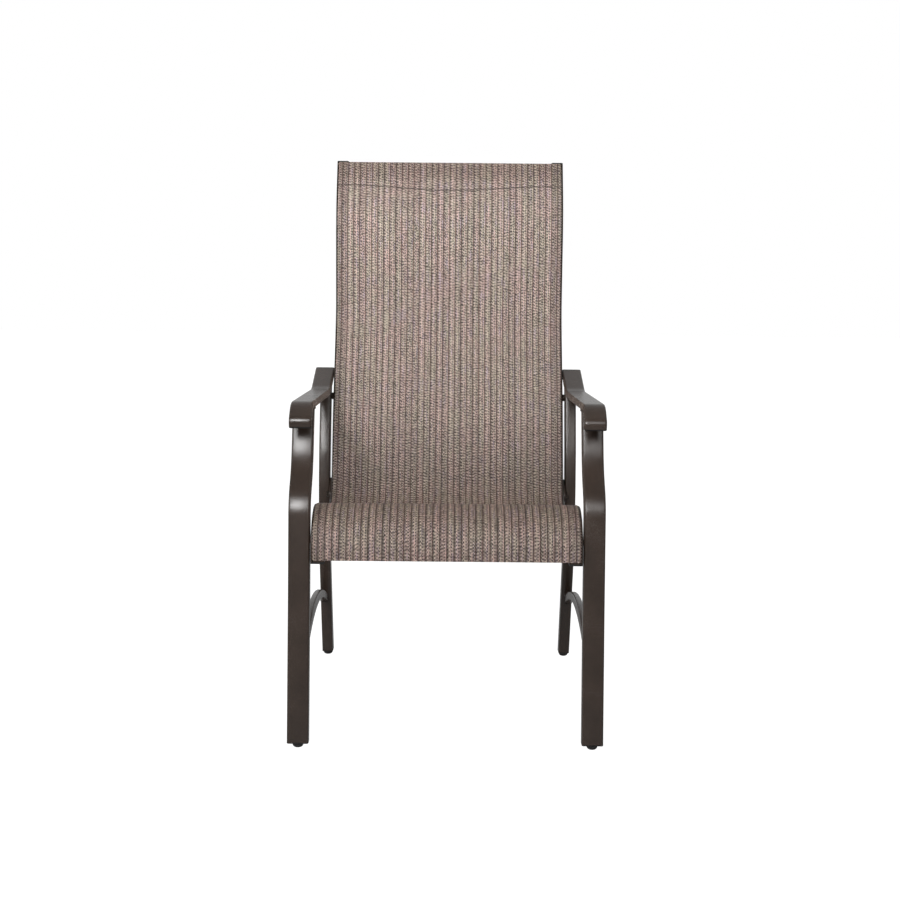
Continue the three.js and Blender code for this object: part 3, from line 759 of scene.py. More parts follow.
class Chair:
    """Paths and places that several pieces share, worked out from the settings and the packed frame."""
    front_shares = ((0, 0), (0.229, 0.42), (0.364, 0.7325), (0.728, 0.8145), (1, 1))
    front_turns = (0, 800, 95, 165, 0)
    rear_shares = ((1, 0), (0.181, 0.366), (0, 0.599), (0.165, 0.762), (0.596, 1))
    rear_turns = (0, 400, 400, 400, 0)
    seat_shares = ((0, 0.792), (0, 1.0444), (1, 0.8127))
    seat_turns = (0, 85, 80)
    back_shares = ((0.327, 0.2), (0.765, 0.4956), (0.7765, 0.836), (1, 1))
    back_turns = (600, 200, 250, 0)
    bar_shares = {"seat_front": 0.142, "seat_rear": 0.358, "back_top": 0.964}
    front_bolt_share = 0.867
    lower_bolt_share = 0.878
    crown_share = 0.46
    seat_height, seat_depth = 450 * MM, 492 * MM
    back_height, back_recline = 1126 * MM, 212.5 * MM

    def __init__(self, scene):
        side, sling, cloth = scene.patio_sides, scene.patio_sling_frame, scene.patio_fabric
        self.place_front_leg(side)
        self.place_spans(side, sling)
        self.place_rail(sling, cloth)
        self.place_rear_leg(side)
        self.place_arm(side)
        self.place_stretcher(side)

    def place_front_leg(self, side):
        """Front leg, and the line of the sling in front of which it stands."""
        bolt_setback = 16.5 * MM
        front_leg = Path.rounded(corners((0, 0), (side.front_leg_lean, side.arm_height),
                                         self.front_shares, self.front_turns))
        bolt_height = self.front_bolt_share * self.seat_height
        seat_front = front_leg.depth_at(bolt_height) - bolt_setback
        seat_rear = (seat_front + self.seat_depth, self.seat_height)
        seat_reach = (self.seat_depth, self.seat_height)
        back_reach = (self.back_recline, self.back_height - self.seat_height)
        cloth_path = Path.rounded([
            *corners((seat_front, 0), seat_reach, self.seat_shares, self.seat_turns),
            *corners(seat_rear, back_reach, self.back_shares, self.back_turns)])
        self.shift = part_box("sling")[0][1] - seat_front
        self.front_leg = front_leg.shifted(self.shift)
        self.front_bolt = (self.front_leg.depth_at(bolt_height, -side.front_leg_thickness / 2), bolt_height)
        self.cloth_path = cloth_path.shifted(self.shift)
        self.cloth_length = self.cloth_path.lengths()[-1]

    def place_spans(self, side, sling):
        """Where each tube begins and ends across the chair, from the centre plane outwards."""
        front_inset, rear_inset, stretcher_inset, rail_gap = 0.5 * MM, 14.5 * MM, 1 * MM, 0.8 * MM
        chair_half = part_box("arm_right")[1][0]
        rear_outer = chair_half - rear_inset
        self.arm_span = self.span_inside(chair_half, side.arm_width)
        self.front_span = self.span_inside(chair_half - front_inset, side.front_leg_width)
        self.rear_span = self.span_inside(rear_outer, side.rear_leg_width)
        self.stretcher_span = self.span_inside(rear_outer - stretcher_inset, side.stretcher_width)
        rail_outer = min(self.arm_span[0], self.front_span[0], self.rear_span[0]) - rail_gap
        self.rail_span = self.span_inside(rail_outer, sling.rail_width)

    def span_inside(self, outer, width):
        return outer - width, outer

    def place_rail(self, sling, cloth):
        """Levels of the rail's section below the face of the fabric."""
        groove_depth, bolt_depth = 2.2 * MM, 5.5 * MM
        half_mouth = sling.groove_mouth / 2
        self.rail_top = -(cloth.thickness + GAP)
        self.rail_bottom = self.rail_top - sling.rail_depth
        self.groove_across = self.rail_span[1] - sling.groove_lip - half_mouth
        self.groove_rise = (self.rail_top - groove_depth
                            - math.sqrt(sling.groove_radius ** 2 - half_mouth ** 2))
        self.groove_floor = self.groove_rise - sling.groove_radius - sling.rail_wall
        self.bolt_line = self.groove_floor - bolt_depth - GAP

    def place_rear_leg(self, side):
        """Rear leg, whose waist passes the upper bolt."""
        upper_bolt_drop, bolt_inset = 38 * MM, 4 * MM
        self.upper_bolt = self.place_on_rail(side.arm_height - upper_bolt_drop)
        self.lower_bolt = self.place_on_rail(self.lower_bolt_share * self.seat_height)
        rear_leg = Path.rounded(corners((0, 0), (side.rear_foot_setback, side.arm_height),
                                        self.rear_shares, self.rear_turns))
        middle = -side.rear_leg_depth / 2 - bolt_inset
        self.rear_leg = rear_leg.shifted(self.upper_bolt[0] - rear_leg.depth_at(self.upper_bolt[1], middle))

    def place_arm(self, side):
        """Arm from its rolled nose over the crest and the dip to its raised end."""
        nose_overhang, rear_overhang = 80 * MM, 16 * MM
        front = self.shift + side.front_leg_lean - nose_overhang
        rear = self.rear_leg.beside(-side.rear_leg_depth)[-1].x + rear_overhang
        # Each corner's end, and in millimetres its place behind that end and above the arm, and its turn
        places = ((front, 6.6, -41, 0), (front, 0, -27.5, 17), (front, 38.5, 4, 60),
                  (rear, -117, -14, 120), (rear, 0, 22, 0))
        self.arm = Path.rounded([(end + behind * MM, side.arm_height + above * MM, turn * MM)
                                 for end, behind, above, turn in places])

    def place_stretcher(self, side):
        """Arched stretcher between the middles of the two legs."""
        front_height, crown_height, rear_height, crown_turn = 142 * MM, 270 * MM, 151 * MM, 690 * MM
        front = self.front_leg.depth_at(front_height, -side.front_leg_thickness / 2)
        rear = self.rear_leg.depth_at(rear_height, -side.rear_leg_depth / 2)
        crown = front + self.crown_share * (rear - front)
        self.stretcher = Path.rounded([(front, front_height, 0), (crown, crown_height, crown_turn),
                                       (rear, rear_height, 0)])

    def place_on_rail(self, height):
        return self.cloth_path.depth_at(height, self.bolt_line), height

    def bar_station(self, name):
        return self.cloth_path.at(self.cloth_length * self.bar_shares[name])

    def bar_middle(self, name):
        """Middle of a bar's end, where its screw sits."""
        return spot(self.bar_station(name), 0, self.bolt_line)


def slid(station, corner, axis, target):
    """Point of a section, slid along the path until its depth (1) or height (2) is that of a target."""
    point = spot(station, *corner)
    heading = Vector((0, station[1].x, station[1].y))
    rounds = 6
    for _ in range(rounds):
        point = point + heading * ((target(point) - point[axis]) / heading[axis])
    return point


class PATIO_OT_side_frames(bpy.types.Operator):
    """Builds the legs, arms and stretchers with their welds and brackets"""
    bl_idname = "patio.side_frames"
    bl_label = "Side frames"

    def execute(self, context):
        scene = context.scene
        side = scene.patio_sides
        chair = Chair(scene)
        coat = powder_coat("powder_coat_frame", scene.patio_finishes.coat)
        weld_crease = math.radians(60)
        welds = Shell()
        self.add_legs(chair, side, coat, welds)
        outlines = self.tube_outlines(chair.arm_span, side.arm_thickness, side.tube_corner, side.tube_wall)
        tube = Shell().pipe(*[sections(chair.arm.stations, outline) for outline in outlines])
        both_sides("arm_tube", tube, coat, "arm")
        self.add_stretchers(chair, side, coat, welds)
        for point in welds.points:
            point.x = max(point.x, -chair.arm_span[1])
        self.add_brackets(chair, side, coat)
        both_sides("weld_beads", welds, coat, crease=weld_crease)
        return {"FINISHED"}

    def tube_outlines(self, span, depth, corner, wall, bore_corner=None):
        """Outside and inside of a tube whose face lies on its path."""
        low, high = span
        bore = inset_outline((low + wall, high - wall, -depth + wall, -wall), bore_corner or corner - wall)
        return inset_outline((low, high, -depth, 0), corner), bore

    def add_legs(self, chair, side, coat, welds):
        """Legs that start level above the floor and end inside the arm's lower wall."""
        leg_bottom, sunk, bolt_hole, hole_depth = 11.4 * MM, 4 * MM, 3.3 * MM, 8 * MM
        bead_step = 1.6 * MM
        legs = (("front_leg", chair.front_leg, chair.front_span, side.front_leg_thickness, chair.front_bolt),
                ("rear_leg", chair.rear_leg, chair.rear_span, side.rear_leg_depth, chair.upper_bolt))

        def arm_base(point):
            return chair.arm.height_at(point.y, -side.arm_thickness)

        def rings(path, outline):
            first = [slid(path.stations[0], corner, 2, lambda point: leg_bottom) for corner in outline]
            last = [slid(path.stations[-1], corner, 2, lambda point: arm_base(point) + sunk)
                    for corner in outline]
            return [first, *sections(path.stations[1:-1], outline), last]

        for name, path, span, depth, bolt in legs:
            outline, bore = self.tube_outlines(span, depth, side.tube_corner, side.tube_wall)
            shell = Shell().pipe(rings(path, outline), rings(path, bore))
            tubes = both_sides(f"{name}_tube", shell, coat, name)
            drill(tubes, [(bolt_hole, span[0], *bolt)], hole_depth)
            seam = [slid(path.stations[-1], corner, 2, arm_base) for corner in outline]
            welds.bead(dense_loop(seam, bead_step), side.weld_radius, Vector((0, 0, 1)), seed=11)

    def add_stretchers(self, chair, side, coat, welds):
        """Arched tubes whose ends follow the faces of the legs."""
        wall, bore_corner, step, end_room, bead_step = 1.6 * MM, 2.4 * MM, 9 * MM, 12 * MM, 1.6 * MM
        bead_share = 0.8
        path = chair.stretcher
        tube = []
        for points in self.tube_outlines(chair.stretcher_span, side.stretcher_height,
                                         side.tube_corner, wall, bore_corner):
            front = [slid(path.stations[0], corner, 1,
                          lambda point: chair.front_leg.depth_at(point.z, -side.front_leg_thickness))
                     for corner in points]
            rear = [slid(path.stations[-1], corner, 1, lambda point: chair.rear_leg.depth_at(point.z))
                    for corner in points]
            between = [station for station in path.evenly(step).stations
                       if front[0].y + end_room < station[0].x < rear[0].y - end_room]
            tube.append([front, *sections(between, points), rear])
        both_sides("stretcher_tube", Shell().pipe(*tube), coat, "side_stretcher")
        for ring in (tube[0][0], tube[0][-1]):
            welds.bead(dense_loop(ring, bead_step), side.weld_radius * bead_share,
                       Vector((0, 1, 0)), seed=23)

    def add_brackets(self, chair, side, coat):
        """Plate between each rear leg and the rail's lower bolt."""
        radius, rise, soft, bolt_hole, hole_depth = 12 * MM, 20 * MM, 0.5 * MM, 3.3 * MM, 10 * MM
        steps = 14
        y, z = chair.lower_bolt
        end_z = z + rise
        end_y = chair.rear_leg.depth_at(end_z, -side.rear_leg_depth / 2)
        tilt = math.atan2(end_z - z, end_y - y)
        outline = [Vector(point) for point in (*arc(end_y, end_z, radius, tilt - QUARTER, math.pi, steps),
                                               *arc(y, z, radius, tilt + QUARTER, math.pi, steps))]
        near, far = chair.rail_span[1] + GAP, chair.rear_span[0] - GAP
        middle = Vector(((y + end_y) / 2, (z + end_z) / 2))
        rings = [[Vector((-across, *(point - (point - middle).normalized() * shrink))) for point in outline]
                 for across, shrink in ((near, soft), (near + soft, 0), (far - soft, 0), (far, soft))]
        plates = both_sides("rail_bracket_plate", Shell().loft(rings), coat, "rail_bracket")
        drill(plates, [(bolt_hole, (near + far) / 2, y, z)], hole_depth)


class PATIO_OT_sling_frame(bpy.types.Operator):
    """Builds the grooved rails and the bowed bars between them"""
    bl_idname = "patio.sling_frame"
    bl_label = "Sling frame"

    def execute(self, context):
        scene = context.scene
        sling = scene.patio_sling_frame
        chair = Chair(scene)
        access_hole, hole_depth, tone = 6.5 * MM, 5 * MM, 0.88
        coat = powder_coat("powder_coat_rail", shade(scene.patio_finishes.coat, tone))
        path = chair.cloth_path.extended(RAIL_OVERHANG, 0)
        shell = Shell().loft(sections(path.stations, self.rail_outline(chair, sling)))
        rails = both_sides("grooved_rail", shell, coat, "sling_rail")
        low, high = chair.rail_span
        bolts = (chair.front_bolt, chair.upper_bolt, chair.lower_bolt)
        holes = [(access_hole, low, *bolt) for bolt in bolts]
        holes += [(access_hole, high, *chair.bar_middle(name).yz) for name in chair.bar_shares]
        drill(rails, holes, hole_depth)
        for name in chair.bar_shares:
            self.add_bar(chair, sling, coat, name)
        return {"FINISHED"}

    def rail_outline(self, chair, sling):
        """Section of the rail with its round groove, open towards the sitter."""
        lip, steps = 0.5 * MM, 16
        half_mouth = sling.groove_mouth / 2
        gape = math.asin(half_mouth / sling.groove_radius)
        across, top = chair.groove_across, chair.rail_top
        whole = rounded_outline(*chair.rail_span, chair.rail_bottom, top, sling.rail_corner)
        groove = arc(across, chair.groove_rise, sling.groove_radius,
                     QUARTER - gape, -2 * (math.pi - gape), steps)
        mouth_out = [(across + half_mouth + lip, top), (across + half_mouth, top - lip)]
        mouth_in = [(across - half_mouth, top - lip), (across - half_mouth - lip, top)]
        first_corner = len(whole) // 4
        return [*whole[:first_corner], *mouth_out, *groove, *mouth_in, *whole[first_corner:]]

    def add_bar(self, chair, sling, coat, name):
        """Bar whose middle is bowed away from the sitter."""
        steps, corner_steps, spare_bow = 60, 6, 0.4 * MM
        point, heading = chair.bar_station(name)
        forward = Vector((0, heading.x, heading.y))
        away = Vector((0, heading.y, -heading.x))
        end = chair.rail_span[0] - GAP
        half_height, half_depth = sling.bar_height / 2, sling.bar_depth / 2
        outline = rounded_outline(-half_height, half_height, -half_depth, half_depth,
                                  half_height - GAP, corner_steps)
        rings = []
        for i in range(steps + 1):
            across = -end + 2 * end * i / steps
            bow = (sling.bar_bow - spare_bow) * (1 + math.cos(math.pi * across / end)) / 2
            slope = -sling.bar_bow * math.pi * math.sin(math.pi * across / end) / (2 * end)
            centre = Vector((across, point.x, point.y)) + away * (bow - chair.bolt_line)
            out = (Vector((1, 0, 0)) + away * slope).normalized().cross(forward)
            rings.append([centre + forward * u + out * v for u, v in outline])
        fit_piece(make_object(f"bowed_bar_{name}", Shell().loft(rings), coat), (f"spreader_{name}",))


class PATIO_OT_fabric(bpy.types.Operator):
    """Builds the stretched sling with its hems, stitches and hem rods"""
    bl_idname = "patio.fabric"
    bl_label = "Sling fabric"

    def execute(self, context):
        scene = context.scene
        cloth, sling, finishes = scene.patio_fabric, scene.patio_sling_frame, scene.patio_finishes
        chair = Chair(scene)
        woven = woven_fabric("woven_sling", cloth, chair.cloth_length, chair.rail_span[0])
        step, wrap_overlap, thread_pitch, rod_pitch = 4 * MM, 3 * MM, 0.9 * MM, 5 * MM
        section = self.cloth_section(chair, sling, cloth)
        stations = chair.cloth_path.evenly(step).stations
        spacing = chair.cloth_length / (len(stations) - 1)
        along = [spacing * i for i in range(len(stations)) for _ in section]
        shell = Shell().loft(sections(stations, section))
        sheet = make_object("sling_fabric", shell, woven, attribute=("along", along))
        fit_piece(sheet, ("sling",))
        hems = self.add_hems(chair, cloth, woven)
        thread = thread_finish("hem_thread", finishes.thread, thread_pitch)
        stitches = self.add_stitches(chair, cloth, thread)
        plastic = thread_finish("hem_rod_plastic", finishes.cord, rod_pitch)
        rods = self.add_rods(chair, sling, cloth, plastic)
        wrap = FULL * (sling.groove_radius - GAP - cloth.thickness / 2) + wrap_overlap
        2 * (chair.groove_across + wrap)
        return {"FINISHED"}

    def cloth_section(self, chair, sling, cloth):
        """Section of the fabric: flat across the seat, and wrapped round the rod in each groove."""
        bend, flat_steps, outer_steps, inner_steps, wrap_steps = 1.2 * MM, 40, 5, 3, 14
        thick = cloth.thickness
        loop_radius = sling.groove_radius - GAP
        gape = math.asin(thick / 2 / loop_radius)
        turn = chair.groove_across - thick / 2 - bend
        flat = [turn * (i / flat_steps * 2 - 1) for i in range(flat_steps + 1)]
        right = [*arc(turn, -bend - thick, bend + thick, QUARTER, -QUARTER, outer_steps)[1:],
                 *arc(chair.groove_across, chair.groove_rise, loop_radius,
                      QUARTER - gape, -2 * (math.pi - gape), wrap_steps),
                 *arc(turn, -bend - thick, bend, 0, QUARTER, inner_steps)]
        return [*[(across, 0.0) for across in flat], *right,
                *[(across, -thick) for across in reversed(flat[1:-1])],
                *[(-across, rise) for across, rise in reversed(right)]]

    def add_hems(self, chair, cloth, woven):
        """Ends of the fabric, folded to the back."""
        inset, edge, fold_gap, steps, across_steps = 1.5 * MM, 0.4 * MM, 0.1 * MM, 12, 20
        half = chair.rail_span[0] - inset
        total = chair.cloth_length
        top = -cloth.thickness - fold_gap
        row = [half * (i / across_steps * 2 - 1) for i in range(across_steps + 1)]
        outline = [(across, top) for across in row]
        outline += [(across, top - cloth.thickness) for across in reversed(row)]
        pieces = []
        for name, start, end in (("front", edge, cloth.hem), ("top", total - cloth.hem, total - edge)):
            shell = Shell().loft(sections(chair.cloth_path.part(start, end, steps).stations, outline))
            along = [start + (end - start) * i / steps for i in range(steps + 1) for _ in outline]
            piece = make_object(f"hem_{name}", shell, woven, attribute=("along", along))
            pieces.append(fit_piece(piece))
        return pieces

    def add_stitches(self, chair, cloth, thread):
        """A row of stitches through each hem, on the face and on the back."""
        inset, row_inset, face_rise, back_drop, slack = 3 * MM, 2.5 * MM, 0.15 * MM, 0.25 * MM, 0.1
        reach_share = 0.42
        half = chair.rail_span[0] - inset
        pieces = []
        dice = random.Random(5)
        for name, place in (("front", cloth.hem - row_inset),
                            ("top", chair.cloth_length - cloth.hem + row_inset)):
            shell = Shell()
            station = chair.cloth_path.at(place)
            forward = Vector((0, station[1].x, station[1].y))
            up = spot(station, 0, 1.0) - spot(station, 0, 0.0)
            for rise, out in ((face_rise, up), (-2 * cloth.thickness - back_drop, -up)):
                for i in range(int(2 * half / cloth.stitch)):
                    middle = spot(station, -half + cloth.stitch * (i + 0.5), rise)
                    middle = middle + forward * dice.uniform(-slack, slack) * MM
                    self.add_stitch(shell, middle, forward, out, cloth.stitch * reach_share)
            pieces.append(fit_piece(make_object(f"stitches_{name}", shell, thread)))
        return pieces

    def add_stitch(self, shell, middle, forward, up, reach):
        """One stitch, whose ends dip into the fabric."""
        dip, sides = 0.3 * MM, 6
        # Share of the stitch's reach and its radius in millimetres
        profile = ((-1, 0.12), (-0.8, 0.28), (-0.3, 0.34), (0.3, 0.34), (0.8, 0.28), (1, 0.12))
        shell.loft([round_ring(middle + Vector((reach * t, 0, 0)) - up * (dip * t * t), forward, up,
                               radius * MM, sides) for t, radius in profile])

    def add_rods(self, chair, sling, cloth, plastic):
        """Rods that keep the hems in the grooves."""
        sides = 16
        radius = sling.groove_radius - GAP - cloth.thickness - GAP
        outline = arc(chair.groove_across, chair.groove_rise, radius, 0, FULL, sides)[:-1]
        shell = Shell().loft(sections(chair.cloth_path.stations, outline))
        return both_sides("hem_rod_cord", shell, plastic, "hem_rod")


class PATIO_OT_caps(bpy.types.Operator):
    """Builds the end caps of the rails and arms"""
    bl_idname = "patio.caps"
    bl_label = "End caps"

    def execute(self, context):
        scene = context.scene
        chair = Chair(scene)
        side, sling = scene.patio_sides, scene.patio_sling_frame
        plastic = moulded_plastic("moulded_caps", scene.patio_finishes.plastic)
        rail_plate, rail_reach, arm_plate, arm_reach = 3.2 * MM, 8 * MM, 2.5 * MM, 12 * MM
        low, high = chair.rail_span
        wall = sling.rail_wall + GAP
        rail_box = (low, high, chair.rail_bottom, chair.rail_top)
        rail_plug = (low + wall, high - wall, chair.rail_bottom + wall, chair.groove_floor - GAP)
        rail = chair.cloth_path.extended(RAIL_OVERHANG, 0)
        rail_sizes = (sling.rail_corner, rail_plate, rail_reach)
        low, high = chair.arm_span
        wall = side.tube_wall + GAP
        arm_box = (low, high, -side.arm_thickness, 0)
        arm_plug = (low + wall, high - wall, -side.arm_thickness + wall, -wall)
        arm_sizes = (side.tube_corner, arm_plate, arm_reach)
        for piece, node, ends, path, box, plug, sizes in (
                ("rail_end", "rail_cap", ("front", "top"), rail, rail_box, rail_plug, rail_sizes),
                ("arm_end", "arm_cap", ("front", "rear"), chair.arm, arm_box, arm_plug, arm_sizes)):
            for end, way, sign in zip(ends, (path, path.reversed()), (1, -1)):
                shell = self.cap(way, box, plug, sizes, sign)
                both_sides(f"{piece}_{end}", shell, plastic, f"{node}_{end}")
        return {"FINISHED"}

    def cap(self, path, box, plug, sizes, sign):
        """Cap at the beginning of a path: a plate with a round rim and a plug inside the tube."""
        corner, plate, reach = sizes
        rim, rim_steps, plug_corner, chamfer = 1.1 * MM, 5, 1.5 * MM, 1 * MM
        rounded_rim = arc(-GAP - plate + rim, rim, rim, -QUARTER, -QUARTER, rim_steps)
        levels = [(box, corner, along, inset) for along, inset in (*rounded_rim, (-GAP, 0))]
        levels += [(plug, plug_corner, along, inset)
                   for along, inset in ((-GAP, 0), (reach - chamfer, 0), (reach, chamfer))]
        return Shell().loft([self.ring(path, *level, sign) for level in levels])

    def ring(self, path, box, corner, along, inset, sign):
        """Outline across a path at a distance from its beginning, outside it where negative."""
        first = path.stations[0]
        station = path.at(along) if along > 0 else (first[0] + first[1] * along, first[1])
        return [spot(station, across, rise * sign) for across, rise in inset_outline(box, corner, inset)]


class PATIO_OT_feet(bpy.types.Operator):
    """Builds the plugs in the legs and the glides that they hold"""
    bl_idname = "patio.feet"
    bl_label = "Feet"

    def execute(self, context):
        scene = context.scene
        chair = Chair(scene)
        side = scene.patio_sides
        plastic = moulded_plastic("moulded_feet", scene.patio_finishes.plastic)
        wall, plug_corner = side.tube_wall + GAP, 2 * MM
        for name, path, (low, high), depth in (
                ("front", chair.front_leg, chair.front_span, side.front_leg_thickness),
                ("rear", chair.rear_leg, chair.rear_span, side.rear_leg_depth)):
            rim = ((low, high, -depth, 0), side.tube_corner)
            plug = ((low + wall, high - wall, -depth + wall, -wall), plug_corner)
            # Height above the floor and inset of each ring in millimetres, and its outline
            levels = ((9.3, 0.8, rim), (9.5, 0.3, rim), (9.9, 0, rim), (11.1, 0, rim),
                      (11.1, 0, plug), (30.1, 0, plug), (31.1, 1, plug))
            rings = [[slid(path.stations[0], point, 2, lambda _, level=level: level * MM)
                      for point in inset_outline(*shape, inset * MM)] for level, inset, shape in levels]
            both_sides(f"{name}_leg_insert", Shell().loft(rings), plastic, f"{name}_leg_plug")
            self.add_glide(name, plastic)
        return {"FINISHED"}

    def add_glide(self, name, plastic):
        """Domed glide on a threaded stem."""
        foot, radius, dome, height, soft = 4 * MM, 10.5 * MM, 6.5 * MM, 9 * MM, 0.5 * MM
        stem, stem_length, tip = 4 * MM, 15 * MM, 0.6 * MM
        pitch, turns, thread_depth, root_share, rise_share = 1.25 * MM, 11, 0.55 * MM, 0.2, 0.5
        bevel, steps, sides, thread_crease = 0.3 * soft, 12, 40, math.radians(30)
        low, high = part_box(f"{name}_leg_glide_left")
        profile = [(AXIS, 0.0)]
        for i in range(steps + 1):
            angle = QUARTER * i / steps
            profile.append((foot + (radius - foot) * math.sin(angle), dome * (1 - math.cos(angle))))
        profile += [(radius, height - soft), (radius - bevel, height - bevel),
                    (radius - soft, height), (stem, height)]
        for i in range(turns):
            base = height + pitch * (i + root_share)
            profile += [(stem - thread_depth, base), (stem, base + pitch * rise_share)]
        profile += [(stem - tip, height + stem_length), (AXIS, height + stem_length)]
        place = Matrix.Translation(((low[0] + high[0]) / 2, (low[1] + high[1]) / 2, 0))
        shell = Shell().turned(profile, place, sides)
        both_sides(f"{name}_glide", shell, plastic, f"{name}_leg_glide", f"{name}_foot",
                   crease=thread_crease)


class PATIO_OT_fasteners(bpy.types.Operator):
    """Builds the bolts, nuts, spacers and screws"""
    bl_idname = "patio.fasteners"
    bl_label = "Fasteners"
    bore = 3.35 * MM

    def execute(self, context):
        scene = context.scene
        chair = Chair(scene)
        wall = scene.patio_sides.tube_wall
        steel = plated_steel("plated_steel", scene.patio_finishes.steel)
        outer = chair.rail_span[1]
        front, rear = chair.front_span[0], chair.rear_span[0]
        rail_side, thread_past_nut, nut_sides = 2 * MM, 1.5 * MM, 36
        bolt_radius, head_radius, head_height, socket = 3 * MM, 5.5 * MM, 5 * MM, 4.5 * MM
        nut_radius, nut_height, nut_soft, nut_flats = 5.5 * MM, 5 * MM, 0.5 * MM, 6
        head_start = outer - rail_side - GAP - head_height
        for name, bolt, nut_start in (("front", chair.front_bolt, front + wall + GAP),
                                      ("rear_upper", chair.upper_bolt, rear + wall + GAP),
                                      ("rear_lower", chair.lower_bolt, rear)):
            shank = nut_start + nut_height + thread_past_nut - head_start - head_height
            profile = self.bolt_profile(bolt_radius, head_radius, head_height, shank, socket)
            shell = Shell().turned(profile, self.across(-head_start, *bolt, 1))
            both_sides(f"bolt_{name}", shell, steel, f"rail_bolt_{name}")
            shell = Shell().turned(self.ring_profile(nut_radius, nut_height, nut_soft, nut_flats),
                                   self.across(-nut_start, *bolt, 1), nut_sides, closed=True)
            both_sides(f"nut_{name}", shell, steel, f"rail_nut_{name}")
        spacer_radius, spacer_soft, spacer_sides = 7.5 * MM, 0.3 * MM, 40
        for name, bolt, seat in (("front", chair.front_bolt, front), ("rear", chair.upper_bolt, rear)):
            shell = Shell().turned(self.ring_profile(spacer_radius, seat - outer - 2 * GAP, spacer_soft),
                                   self.across(-outer - GAP, *bolt, 1), spacer_sides, closed=True)
            both_sides(f"spacer_{name}", shell, steel, f"rail_spacer_{name}")
        screw_radius, screw_rim, screw_head = 2.5 * MM, 5 * MM, 4 * MM
        screw_shank, screw_socket = 20.6 * MM, 4 * MM
        profile = self.bolt_profile(screw_radius, screw_rim, screw_head, screw_shank, screw_socket)
        head_start = chair.rail_span[0] + rail_side + GAP + screw_head
        for name in chair.bar_shares:
            shell = Shell().turned(profile, self.across(-head_start, *chair.bar_middle(name).yz, -1))
            both_sides(f"bar_screw_{name}", shell, steel, f"spreader_screw_{name}")
        return {"FINISHED"}

    def across(self, x, y, z, direction):
        """Frame of a turned piece that lies across the chair and points outwards or inwards."""
        return Matrix.Translation((x, y, z)) @ Matrix.Rotation(-direction * QUARTER, 4, "Y")

    def ring_profile(self, radius, height, soft, *flats):
        """Spacer, or nut where it has flats, round a bolt."""
        return [(self.bore, 0), (radius - soft, 0), (radius, soft, *flats), (radius, height - soft, *flats),
                (radius - soft, height), (self.bore, height)]

    def bolt_profile(self, radius, head, height, shank, socket):
        """Round head with a hexagon socket and a threaded shank."""
        key, soft, floor, edge, flare = socket / 2, 0.6 * MM, 2.4 * MM, 0.2 * MM, 0.3 * MM
        pitch, thread_depth, tip, root_share, crest_share = 1 * MM, 0.35 * MM, 0.5 * MM, 0.2, 0.7
        bevel = 0.3 * soft
        profile = [(AXIS, floor), (key, floor, 6), (key, edge, 6), (key + flare, 0.0, 6),
                   (head - soft, 0.0), (head - bevel, bevel), (head, soft), (head, height),
                   (radius, height)]
        for i in range(int(shank / pitch)):
            base = height + pitch * i
            profile += [(radius - thread_depth, base + pitch * root_share),
                        (radius, base + pitch * crest_share)]
        profile += [(radius - tip, height + shank), (AXIS, height + shank)]
        return profile


